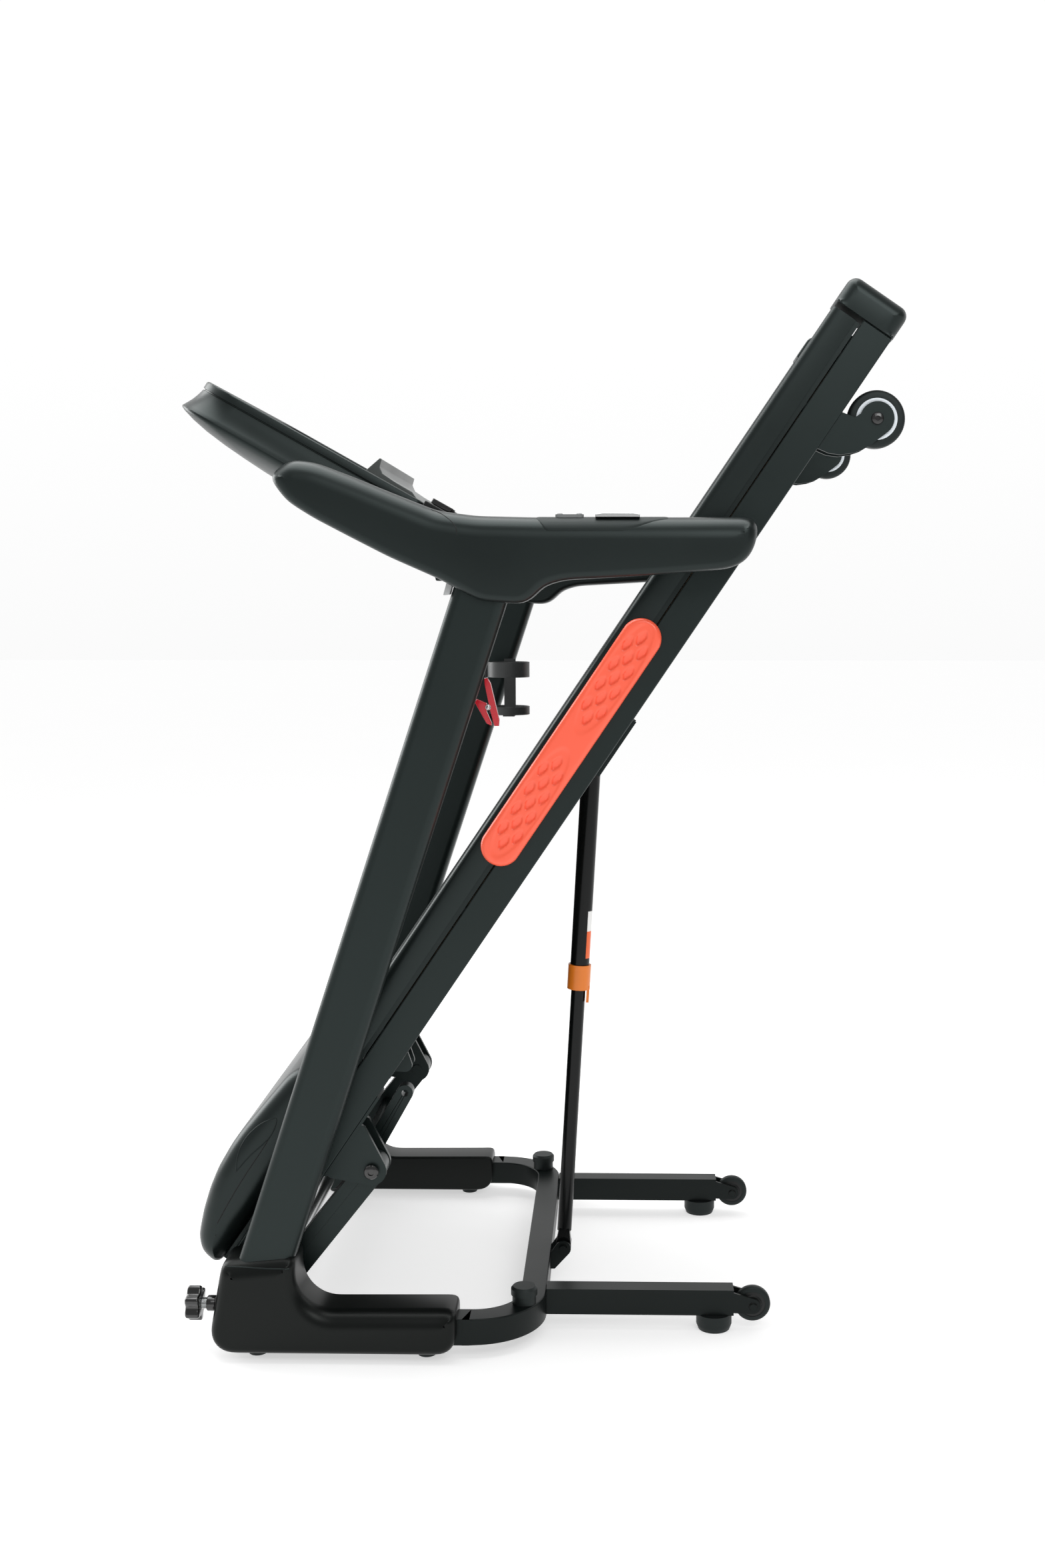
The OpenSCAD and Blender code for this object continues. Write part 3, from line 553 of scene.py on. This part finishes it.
def build_pads(mats):
    """The two orange side pads, with their pressed dimples."""
    s0, s1, middle, r, edge, step = 720, 1123, 88, 28, 7, 1.6
    y_out, y_back = 306, 295.0
    for side, node in ((-1, "side_pad_left"), (1, "side_pad_right")):
        verts, index, faces = [], {}, []
        rows, columns = int((2 * r) / step) + 2, int((s1 - s0) / step) + 2
        for i in range(columns + 1):
            for k in range(rows + 1):
                s, t = s0 - step / 2 + i * step, middle - r - step / 2 + k * step
                core = min(max(s, s0 + r), s1 - r)
                away = math.hypot(s - core, t - middle)
                d = r - away
                if d < -1.3 * step:
                    continue
                if d < 0:
                    s, t, d = core + (s - core) * r / away, middle + (t - middle) * r / away, 0
                drop = edge - math.sqrt(max(0, edge ** 2 - (edge - d) ** 2)) if d < edge else 0
                y = y_out - drop - pad_depth(s, t)
                index[i, k] = len(verts)
                verts.append(deck_point(s * MM, t * MM, side * y * MM))
        for i in range(columns):
            for k in range(rows):
                corners = [(i, k), (i + 1, k), (i + 1, k + 1), (i, k + 1)]
                if all(c in index for c in corners):
                    faces.append([index[c] for c in corners])
        mesh = bpy.data.meshes.new("pad")
        mesh.from_pydata([tuple(v) for v in verts], [], faces)
        work = bmesh.new()
        work.from_mesh(mesh)
        bmesh.ops.remove_doubles(work, verts=work.verts, dist=1e-5)
        loose = [v for v in work.verts if not v.link_faces]
        bmesh.ops.delete(work, geom=loose, context="VERTS")
        rim = [e for e in work.edges if e.is_boundary]
        grown = bmesh.ops.extrude_edge_only(work, edges=rim)["geom"]
        for v in grown:
            if isinstance(v, bmesh.types.BMVert):
                v.co.y = side * y_back * MM
        bmesh.ops.holes_fill(work, edges=[e for e in work.edges if e.is_boundary])
        bmesh.ops.recalc_face_normals(work, faces=work.faces)
        work.to_mesh(mesh)
        work.free()
        obj = bpy.data.objects.new("pad_" + node[9:], mesh)
        bpy.context.scene.collection.objects.link(obj)
        mesh.materials.append(mats["pad_orange"])
        mesh.shade_smooth()
        mesh.set_sharp_from_angle(angle=math.radians(50))
        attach(obj, "deck")
        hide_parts(node)


def build_foot_rails(mats):
    """Ribbed foot rails with a bulged outer lip."""
    profile = [(-295.0, 88), (-295.9, 95), (-296.4, 104), (-296.4, 111), (-295.6, 117), (-293.6, 121),
               (-290.5, 123), (-286, 123.6)]
    y = -283
    while y < -228:
        profile += [(y, 123.6), (y + 0.6, 124.2), (y + 3.0, 124.2), (y + 3.6, 123.6)]
        y += 6.2
    profile += [(-222, 123.6), (-219.5, 123.0), (-219, 121.5), (-219, 119.8), (-290, 119.6), (-290, 81.3),
                (-292, 81.3), (-292, 88)]
    for side in (-1, 1):
        rings = [[deck_point(s * MM, t * MM, -side * y * MM) for y, t in profile]
                 for s in (331, 333, 700, 1100, 1606.5, 1608)]
        verts, faces = loft(rings)
        new_piece(f"foot_rail_{'left' if side < 0 else 'right'}", verts, faces, mats["cover_plastic"], "deck",
                  "cover_plastic", ["foot_rails"], sharp=35)


def build_caps_and_hood(mats):
    """Moulded end caps and motor hood with their rounded edges."""
    lo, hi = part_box("end_caps")
    for side in (-1, 1):
        loop = relax(resample(end_loop("end_caps", side < 0), 0.0015), 2)
        near, far = (lo.y, -0.221) if side < 0 else (0.221, hi.y)
        outer = (-DECK_U.x, -DECK_U.z, 0.0012, 0.018)
        edges = (outer, 0.003) if side < 0 else (0.003, outer)
        verts, faces = pillow(loop, near, far, *edges)
        new_piece(f"end_cap_{'left' if side < 0 else 'right'}", verts, faces, mats["cover_plastic"], "deck",
                  "cover_plastic", ["end_caps"], sharp=45)
    return soft_copy("motor_cover", "motor_hood", mats["cover_plastic"], "deck", "cover_plastic", 0.028,
                     0.028, smooth=3)


def build_casters(mats):
    """Deck casters: rubber tyre, hub and pale hub ring, with a screw in the fork."""
    s, t = 1.5186, -0.010
    for side, name in ((-1, "caster_left"), (1, "caster_right")):
        centre = deck_point(s, t, side * 0.276)
        tyre = [(0.0282, -0.0116), (0.0345, -0.0120), (0.0375, -0.0105), (0.0388, -0.0075), (0.0390, -0.0030),
                (0.0390, 0.0030), (0.0388, 0.0075), (0.0375, 0.0105), (0.0345, 0.0120), (0.0282, 0.0116),
                (0.0265, 0.0085), (0.0265, -0.0085)]
        new_piece(f"{name}_tyre", *lathe(tyre, centre), mats["rubber"], name, "rubber", [name], sharp=50)
        hub = [(0.0055, -0.0112), (0.0120, -0.0112), (0.0135, -0.0100), (0.0220, -0.0096), (0.0228, -0.0100),
               (0.0228, 0.0100), (0.0220, 0.0096), (0.0135, 0.0100), (0.0120, 0.0112), (0.0055, 0.0112)]
        new_piece(f"{name}_hub", *lathe(hub, centre), mats["knob_black"], name, None, [name], sharp=40)
        ring = [(0.0222, -0.0112), (0.0232, -0.0119), (0.0274, -0.0119), (0.0284, -0.0112), (0.0284, 0.0112),
                (0.0274, 0.0119), (0.0232, 0.0119), (0.0222, 0.0112)]
        new_piece(f"{name}_ring", *lathe(ring, centre), mats["ring_white"], name, None, [name], sharp=40)
        plate = centre + Vector((0, side * 0.018, 0))
        screw = [(0.0, -0.0008), (0.0085, -0.0008), (0.0085, 0.0012), (0.0075, 0.0028), (0.0050, 0.0038),
                 (0.0034, 0.0040), (0.0034, 0.0018), (0.0, 0.0018)]
        points = [(r, y * side) for r, y in screw]
        new_piece(f"{name}_screw", *lathe(points, plate, 32), mats["knob_black"], "deck", None, sharp=30)


def build_deck(mats):
    build_pads(mats)
    build_foot_rails(mats)
    hood = build_caps_and_hood(mats)
    build_casters(mats)
    for node, width in (("deck_rail_left", 0.003), ("deck_rail_right", 0.003), ("deck_crossmembers", 0.0012),
                        ("lift_frame", 0.0015), ("motor_pan", 0.001)):
        soften(node, width, mats["cover_plastic" if node == "motor_pan" else "frame_steel"])
    for node, slot in (("running_board", "board_wood"), ("running_belt", "belt_rubber"),
                       ("deck_cushions", "rubber"),
                       ("drive_motor", "motor_metal"), ("motor_pulley", "bright_steel"),
                       ("drive_belt", "rubber"),
                       ("front_roller", "bright_steel"), ("rear_roller", "bright_steel"),
                       ("controller_board", "board_green"), ("pivot_shaft", "bright_steel")):
        finish_node(node, mats[slot])
    return hood


def finish_node(node, mat):
    """Only the finish of a CAD node."""
    obj = frame["nodes"][node]
    obj.data.materials.clear()
    obj.data.materials.append(mat)
    return obj


# ---------------------------------------------------------------- base and uprights

def build_base(mats):
    # Base tubes, legs and brackets take the darker copy of the powder coat: painted shade near the floor; the
    # uprights keep the plain coat
    for node, width in (("base_loop", 0.0022), ("rear_legs", 0.0015), ("base_brackets", 0.0012),
                        ("upright_left", 0.0), ("upright_right", 0.0)):
        soften(node, width, mats["frame_steel" if node.startswith("upright") else "shaded_base_steel"])
    for node in ("rubber_feet", "corner_bumpers"):
        soften(node, 0.0015, mats["rubber"])
    finish_node("pivot_bushes", mats["bronze"])
    finish_node("frame_bolts", mats["dark_steel"])
    covers, rails = {}, {}
    for side in ("left", "right"):
        # The base covers take the darker copy of the moulded plastic: painted shade near the floor
        outer = (0.012, 0.013, 0.026)
        edges = (outer, 0.004) if side == "left" else (0.004, outer)
        covers[side] = soft_copy(f"base_cover_{side}", f"cover_{side}", mats["shaded_base_plastic"], "base",
                                 "cover_plastic", *edges,
                  step=0.006, smooth=3, low=side == "left")
        outer, inner = (0.010, 0.018, 0.030), (0.008, 0.012, 0.018)
        edges = (outer, inner) if side == "left" else (inner, outer)
        rails[side] = soft_copy(f"handrail_moulding_{side}", f"handrail_{side}", mats["cover_plastic"],
                                "base", "cover_plastic", *edges,
                  step=0.006, smooth=4, low=side == "left")
    for side, name in ((-1, "leg_wheel_left"), (1, "leg_wheel_right")):
        lo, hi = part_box(name)
        centre = (lo + hi) / 2
        tyre = [(0.0185, -0.0068), (0.0225, -0.0070), (0.0248, -0.0058), (0.0260, -0.0035), (0.0260, 0.0035),
                (0.0248, 0.0058), (0.0225, 0.0070), (0.0185, 0.0068)]
        new_piece(f"{name}_tyre", *lathe(tyre, centre), mats["rubber"], name, "rubber", [name], sharp=50)
        hub = [(0.0052, -0.0088), (0.0125, -0.0088), (0.0140, -0.0070), (0.0186, -0.0062), (0.0186, 0.0062),
               (0.0140, 0.0070), (0.0125, 0.0088), (0.0052, 0.0088)]
        new_piece(f"{name}_hub", *lathe(hub, centre), mats["trim_plastic"], name, None, [name], sharp=40)
    return covers, rails


def build_knob(mats):
    """Lobed clamp knob on the near front corner, with its bright thread and collar."""
    centre_y, centre_z = -0.337, 0.072

    def ring(x, shrink):
        out = []
        for k in range(144):
            a = 2 * math.pi * k / 144
            r = 0.0221 + 0.0032 * math.cos(6 * a) - shrink
            out.append((x, centre_y + r * math.sin(a), centre_z + r * math.cos(a)))
        return out

    rings = [ring(-0.4975, 0.0105), ring(-0.498, 0.0065)]
    rings += [ring(-0.498 + 0.004 * (1 - math.cos(k * math.pi / 12)), 0.004 * (1 - math.sin(k * math.pi / 12)))
              for k in range(7)]
    rings += [ring(-0.478 - 0.003 * (1 - math.sin(k * math.pi / 12)), 0.003 * (1 - math.cos(k * math.pi / 12)))
              for k in range(7)]
    new_piece("knob_head", *loft(rings), mats["knob_black"], "front_knob", "knob_black", ["front_knob"],
              sharp=60)
    thread = []
    for k in range(17):
        x = -0.4785 + k * 0.0006
        thread.append([(x, centre_y + (0.0079 - 0.0007 * (k % 2)) * math.sin(a),
                        centre_z + (0.0079 - 0.0007 * (k % 2)) * math.cos(a))
                       for a in [2 * math.pi * i / 40 for i in range(40)]])
    new_piece("knob_thread", *loft(thread), mats["bright_steel"], "front_knob", None, sharp=20)
    collar = []
    for x, r in ((-0.470, 0.0085), (-0.470, 0.0100), (-0.469, 0.0110), (-0.459, 0.0110), (-0.458, 0.0105)):
        collar.append([(x, centre_y + r * math.sin(a), centre_z + r * math.cos(a))
                       for a in [2 * math.pi * i / 48 for i in range(48)]])
    new_piece("knob_collar", *loft(collar), mats["knob_black"], "front_knob", None, sharp=40)


# ---------------------------------------------------------------- console

def plan_ring(z, x_front, x_rear, half, r_front, r_rear):
    """A rounded plan outline of the console at height z, always with the same number of points."""
    points = []
    corners = ((x_rear - r_rear, half - r_rear, r_rear, 0), (x_front + r_front, half - r_front, r_front, 90),
               (x_front + r_front, -half + r_front, r_front, 180),
               (x_rear - r_rear, -half + r_rear, r_rear, 270))
    for cx, cy, r, start in corners:
        for k in range(13):
            a = math.radians(start + k * 7.5)
            points.append(console_point(cx + r * math.cos(a), cy + r * math.sin(a), z))
    return points


def build_console(mats):
    """The console: shell with a stepped side wall, face, display, ledge and keys."""
    levels = [
        (-73.0, -150, -30, 215, 60, 20), (-72.4, -182, -20, 246, 64, 20), (-69.6, -208, -12, 266, 66, 20),
        (-66.0, -236, -4, 284, 66, 20), (-61.5, -262, 6, 297, 66, 18), (-56.0, -283, 20, 307.5, 66, 18),
        (-50.6, -297, 32, 314.5, 66, 16), (-48.0, -302, 37, 316, 66, 15), (-46.0, -303, 39, 316, 66, 15),
        (-44.5, -302.5, 40, 315.5, 66, 15), (-40.0, -300.5, 44, 312.0, 66, 14), (-32.0, -297, 49, 307.2, 66, 13),
        (-24.0, -294.5, 53, 303.4, 66, 12), (-16.0, -292.5, 56, 300.5, 66, 12), (-13.5, -292, 57, 300.0, 66, 12),
        (-13.0, -290, 55, 298.0, 64, 11), (-11.6, -290, 55, 298.0, 64, 11), (-11.0, -292.5, 57.5, 300.5, 66, 12),
        (-3.0, -292, 58.5, 300.0, 66, 12), (-1.0, -291, 58.0, 299.0, 65, 12), (0.0, -288.5, 55.5, 296.5, 63, 10),
        (0.0, -282, 49, 290, 57, 8), (-1.5, -280, 47, 288, 55, 7), (-9.0, -279.5, 46.5, 287.5, 54.5, 7),
        (-11.0, -278, 45, 286, 53, 7)]
    verts, faces = loft([plan_ring(*level) for level in levels])
    new_piece("console_shell", verts, faces, mats["cover_plastic"], "base", "cover_plastic",
              ["console_tray"], sharp=42)
    face = [(-11.0, -278.8, 45.8, 286.8, 54, 7), (-8.6, -278.8, 45.8, 286.8, 54, 7),
            (-8.0, -278.2, 45.2, 286.2, 53, 7)]
    verts, faces = loft([plan_ring(*level) for level in face])
    new_piece("console_face", verts, faces, mats["trim_plastic"], "base", "trim_plastic", ["console_panel"],
              sharp=42)
    lens = [(-8.2, -234, -130, 118, 8, 8), (-7.2, -234, -130, 118, 8, 8), (-6.6, -233, -131, 117, 7, 7)]
    verts, faces = loft([plan_ring(*level) for level in lens])
    new_piece("display_window", verts, faces, mats["lens"], "base", "lens", ["display_lens"], sharp=42)
    finish_node("console_board", mats["board_green"])
    build_digits()
    for node, slot, width in (("tablet_ledge", "ledge_plastic", 0.0011), ("key_socket", "trim_plastic", 0.002),
                              ("start_button", "start_green", 0.0015), ("stop_button", "stop_red", 0.0015),
                              ("speed_up_key", "key_plastic", 0.0012), ("speed_down_key", "key_plastic", 0.0012),
                              ("handle_key_left", "key_plastic", 0.001),
                              ("handle_key_right", "key_plastic", 0.001),
                              ("safety_key", "knob_black", 0.0028),
                              ("pulse_plates", "bright_steel", 0.0007), ("bottle_cage", "cage_plastic", 0.0008)):
        soften(node, width, mats[slot])


SEGMENTS = {"a": (0, 1, 1), "b": (1, 0.5, 0), "c": (1, -0.5, 0), "d": (0, -1, 1), "e": (-1, -0.5, 0),
            "f": (-1, 0.5, 0), "g": (0, 0, 1)}


def build_digits():
    """Seven-segment zeros and dashes behind the display window."""
    glow = material("display_segment", (0.55, 0.62, 0.60), 0.5, tone=0.02)
    verts, faces = [], []
    for column in range(6):
        y0 = -92 + column * 34 + (8 if column % 2 else 0)
        lit = "abcdef" if column in (1, 2, 4) else "g"
        for name in lit:
            sy, sx, flat = SEGMENTS[name]
            cy, cx = y0 + sy * 6, -182 - sx * 10
            wy, wx = (4.5, 1.0) if flat else (1.0, 3.8)
            base = len(verts)
            for z in (-6.7, -6.35):
                for a, b in ((-1, -1), (1, -1), (1, 1), (-1, 1)):
                    verts.append(console_point(cx + a * wx, cy + b * wy, z))
            faces += [(base, base + 3, base + 2, base + 1), (base + 4, base + 5, base + 6, base + 7)]
            faces += [(base + k, base + (k + 1) % 4, base + 4 + (k + 1) % 4, base + 4 + k) for k in range(4)]
    new_piece("display_digits", verts, faces, glow, "base", None, sharp=30)


# ---------------------------------------------------------------- cord, clip and strut

def catmull(points, per=6):
    """Points of a smooth curve through the given ones."""
    out = []
    ends = [points[0] * 2 - points[1]] + points + [points[-1] * 2 - points[-2]]
    for i in range(1, len(ends) - 2):
        a, b, c, d = ends[i - 1:i + 3]
        for k in range(per):
            t = k / per
            out.append(0.5 * (2 * b + (c - a) * t + (2 * a - 5 * b + 4 * c - d) * t * t
                              + (3 * b - a - 3 * c + d) * t ** 3))
    out.append(points[-1])
    return out


def build_cord(mats):
    """The safety cord from the key down to its clip."""
    start = console_point(98, -282, 8)
    out = Vector((math.cos(CONSOLE_SLOPE), 0, -math.sin(CONSOLE_SLOPE)))
    rest = [(-108, -282, 1171), (-104, -282, 1162), (-101, -282, 1150), (-98, -282, 1135), (-94, -282, 1105),
            (-89, -282, 1075), (-85, -282, 1045), (-81, -283, 1015), (-78, -283, 990), (-75.1, -283, 960),
            (-75, -283, 952)]
    path = catmull([start, start + out * 0.006] + [Vector(p) * MM for p in rest])
    cord = tube_curve("key_cord", path, 0.0015, mats["cord_black"], "base", 3)
    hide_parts("safety_cord")
    build_clip(mats)


def clip_point(x, y, z):
    """A point of the clip's own frame, in millimetres from its top."""
    a = math.radians(-10)
    c, s = math.cos(a), math.sin(a)
    return Vector((-0.075 + (x * c + z * s) * MM, -0.283 + y * MM, 0.952 + (-x * s + z * c) * MM))


def build_clip(mats):
    """Crocodile clip: red jaws, bright ferrule, rivet and spring."""
    pieces = []
    for node in ("clip_body", "clip_lever"):
        pieces.append(soften(node, 0.0012, mats["clip_red"]))
    rings = []
    for z, r in ((1.0, 1.6), (0.6, 2.4), (-1.0, 2.6), (-6.0, 2.6), (-6.6, 3.4), (-9.0, 3.4), (-9.6, 2.8)):
        rings.append([clip_point(0.4 + r * math.cos(2 * math.pi * k / 28), r * math.sin(2 * math.pi * k / 28), z)
                      for k in range(28)])
    pieces.append(new_piece("clip_ferrule", *loft(rings), mats["bright_steel"], "base", None, sharp=30))
    rivet = []
    for y, r in ((-7.6, 1.0), (-7.2, 2.2), (-6.6, 2.7), (6.6, 2.7), (7.2, 2.2), (7.6, 1.0)):
        rivet.append([clip_point(-4 + r * math.cos(2 * math.pi * k / 24), y,
                                 -40 + r * math.sin(2 * math.pi * k / 24))
                      for k in range(24)])
    pieces.append(new_piece("clip_rivet", *loft(rivet), mats["bright_steel"], "base", None, sharp=30))
    coil = [clip_point(-4 + 3.4 * math.cos(k * 0.4), -6.2 + 0.033 * k, -40 + 3.4 * math.sin(k * 0.4))
            for k in range(60)]
    coil += [clip_point(-9, -4.2, -33), clip_point(-15, -4.2, -29)]
    pieces.append(tube_curve("clip_spring", coil, 0.00055, mats["bright_steel"], "base"))
    return pieces


def strut_axis():
    """The strut's foot and its direction."""
    foot = Vector(joints["strut_swing"]["pos_m"])
    lean = -Vector(joints["strut_slide"]["axis"]).normalized()
    return Vector((foot.x, -0.080, foot.z)), lean


def strut_tube(name, start, end, radii, mat, body, slot=None, around=(0, 2 * math.pi), turns=48):
    """A sleeve, or part of one, round the strut between two distances from its foot."""
    foot, lean = strut_axis()
    across = Vector((0, 1, 0))
    third = lean.cross(across).normalized()
    whole = abs(around[1] - around[0]) > 6.28
    count = turns if whole else turns + 1
    profile = [(start + (end - start) * k / (len(radii) - 1), r) for k, r in enumerate(radii)]
    verts, faces = [], []
    for d, r in profile:
        for k in range(count):
            a = around[0] + (around[1] - around[0]) * k / turns
            verts.append(foot + lean * d - across * (r * math.cos(a)) + third * (r * math.sin(a)))
    for i in range(len(profile) - 1):
        for k in range(turns):
            m = (k + 1) % count
            faces.append((i * count + k, i * count + m, (i + 1) * count + m, (i + 1) * count + k))
    return new_piece(name, verts, faces, mat, body, slot, sharp=40)


def surface_tree(piece):
    """A piece's faces, ready for finding where a straight line meets them."""
    data = piece.data
    return BVHTree.FromPolygons([v.co.copy() for v in data.vertices], [list(f.vertices) for f in data.polygons])


def surface_line(name, on, points, radius, mat, body, side=-1, per=6):
    """A fine raised or cut line that follows the outer side of a piece through points (x, z)."""
    tree = surface_tree(on)
    path = catmull([Vector((x, 0, z)) for x, z in points], per)
    found = []
    for p in path:
        hit = tree.ray_cast(Vector((p.x, side * 0.6, p.z)), Vector((0, -side, 0)))[0]
        if hit is not None:
            reach = min(abs(hit.y) - radius * 0.35, HALF_WIDTH - radius)
            found.append(Vector((hit.x, side * reach, hit.z)))
    return tube_curve(name, found, radius, mat, body, 3)


def build_grips(mats, rails):
    """Soft grip panels that wrap over the top of each handrail, with a scalloped front and rear end."""
    for side, name in ((-1, "left"), (1, "right")):
        on = rails[name]
        tree = surface_tree(on)
        columns, rows = 72, 30
        x0, x1 = -0.0075, 0.1805
        verts, faces, index = [], [], {}
        for i in range(columns + 1):
            u = i / columns
            x = x0 + (x1 - x0) * u
            # How far down the outer side the panel reaches: full length behind a short scallop
            reach = smooth_step(u / 0.12) * (1 - 0.75 * smooth_step((u - 0.62) / 0.38))
            for k in range(rows + 1):
                v = k / rows
                a = math.radians(-14 - 66 * reach + (94 + 66 * reach) * v)
                centre = Vector((x, side * 0.3465, 1.140))
                aim = Vector((0, -side * math.sin(a) , math.cos(a)))
                hit = tree.ray_cast(centre + aim * 0.08, -aim)[0]
                if hit is None:
                    continue
                edge = min(1.0, min(v, 1 - v) * 9, min(u, 1 - u) * 18)
                lift = -0.0012 + 0.0019 * smooth_step(edge)
                index[i, k] = len(verts)
                verts.append(hit + aim * lift)
        for i in range(columns):
            for k in range(rows):
                corners = [(i, k), (i + 1, k), (i + 1, k + 1), (i, k + 1)]
                if all(c in index for c in corners):
                    faces.append([index[c] for c in corners])
        grip = new_piece(f"grip_wrap_{name}", verts, faces, mats["grip_plastic"], "base", "trim_plastic",
                         ["grip_panels"], sharp=50)
        thick = grip.modifiers.new("thick", "SOLIDIFY")
        thick.thickness = 0.0012
        thick.offset = -1 if grip.data.polygons[len(grip.data.polygons) // 2].normal.z > 0 else 1


def dome_screw(name, place, side, r, high, mat, body):
    """A domed socket screw head on a face that looks along Y."""
    profile = [(0.0, -0.0006), (r, -0.0006), (r, high * 0.35), (r * 0.88, high * 0.72), (r * 0.62, high * 0.95),
               (r * 0.42, high), (r * 0.42, high * 0.4), (0.0, high * 0.4)]
    return new_piece(name, *lathe([(q, side * y) for q, y in profile], Vector(place), 40), mat, body, None,
                     sharp=30)


def build_details(mats, hood, covers, rails):
    """Small fixed details: screws, parting lines, the latch lug of the uprights and the strut's label."""
    for side, name in ((-1, "left"), (1, "right")):
        # Latch lug and its dark seat at the top front of each upright
        for part, mat, outline, half in (
                ("lug", "lug_grey", [(-0.1262, 1.0660), (-0.1170, 1.0668), (-0.1120, 1.0850),
                                     (-0.1205, 1.0860)], 0.010),
                ("lug_seat", "rubber", [(-0.1350, 1.0850), (-0.1120, 1.0850), (-0.1080, 1.0950),
                                        (-0.1370, 1.0920)], 0.013)):
            loop = relax(resample(outline, 0.0009), 1)
            y = side * 0.3465
            verts, faces = pillow(loop, y - half, y + half, 0.0015, 0.0015, 3)
            new_piece(f"{part}_{name}", verts, faces, mats[mat], "base", None, sharp=35)
        # Screw of the lift hinge
        dome_screw(f"hinge_screw_{name}", deck_point(0.254, -0.019, side * 0.2960), side, 0.0105, 0.004,
                   mats["knob_black"], "lift_frame")
        # Screws of the leg wheels
        lo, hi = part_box(f"leg_wheel_{name}")
        centre = (lo + hi) / 2
        for k in (-1, 1):
            dome_screw(f"wheel_screw_{name}_{'in' if k * side < 0 else 'out'}",
                       (centre.x, centre.y + k * 0.0135, centre.z), k, 0.0065, 0.003, mats["dark_steel"], "base")
        # Parting lines
        crescent = [(-0.4363, 0.2485), (-0.4347, 0.2650), (-0.4306, 0.2807), (-0.4218, 0.2964),
                    (-0.4081, 0.3110), (-0.3927, 0.3217), (-0.3766, 0.3261), (-0.3835, 0.3045),
                    (-0.3971, 0.2888), (-0.4166, 0.2710), (-0.4363, 0.2485)]
        surface_line(f"hood_crescent_{name}", hood, crescent, 0.0009, mats["cover_plastic"], "deck", side)
        surface_line(f"hood_seam_{name}", hood, [(-0.3787, 0.3124), (-0.3993, 0.2790), (-0.4230, 0.2435),
                                                 (-0.4448, 0.2079), (-0.4648, 0.1721)], 0.0007,
                     mats["void"], "deck", side)
        surface_line(f"cover_lip_{name}", covers[name], [(-0.4371, 0.1368), (-0.4091, 0.1371), (-0.3755, 0.1366),
                                                         (-0.3468, 0.1373)], 0.0010, mats["cover_plastic"],
                     "base", side)
        surface_line(f"handrail_seam_{name}", rails[name],
                     [(-0.1413, 1.1790), (-0.1284, 1.1739), (-0.1155, 1.1652),
                                                            (-0.1068, 1.1549), (-0.1048, 1.1426)], 0.0006,
                     mats["void"], "base", side)
    # Plain two-colour label round the strut's upper tube
    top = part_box("strut_collar")[1].z
    foot, lean = strut_axis()
    start = (top - foot.z) / lean.z + 0.010
    radius = LABEL_R
    strut_tube("strut_label_low", start, start + 0.042, [radius] * 4, mats["label_orange"], "strut_upper",
               around=(-2.2, -0.62))
    strut_tube("strut_label_high", start + 0.042, start + 0.073, [radius] * 4, mats["white"], "strut_upper",
               around=(-2.2, -0.62))


def build_strut(mats):
    for node, slot, width in (("strut_lower", "dark_steel", 0.0), ("strut_upper", "dark_steel", 0.0),
                              ("strut_collar", "collar_orange", 0.0)):
        soften(node, width, mats[slot])
    # Smooth drawn skin of the upper tube
    foot, lean = strut_axis()
    high = (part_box("strut_collar")[1].z - foot.z) / lean.z
    strut_tube("strut_high_skin", high + 0.0006, high + 0.281, [0.01452] * 8, mats["dark_steel"], "strut_upper")


# ---------------------------------------------------------------- main

def main():
    make_camera()
    mats = make_materials()
    make_studio()
    hood = build_deck(mats)
    covers, rails = build_base(mats)
    build_grips(mats, rails)
    build_knob(mats)
    build_console(mats)
    build_cord(mats)
    build_strut(mats)
    build_details(mats, hood, covers, rails)


main()
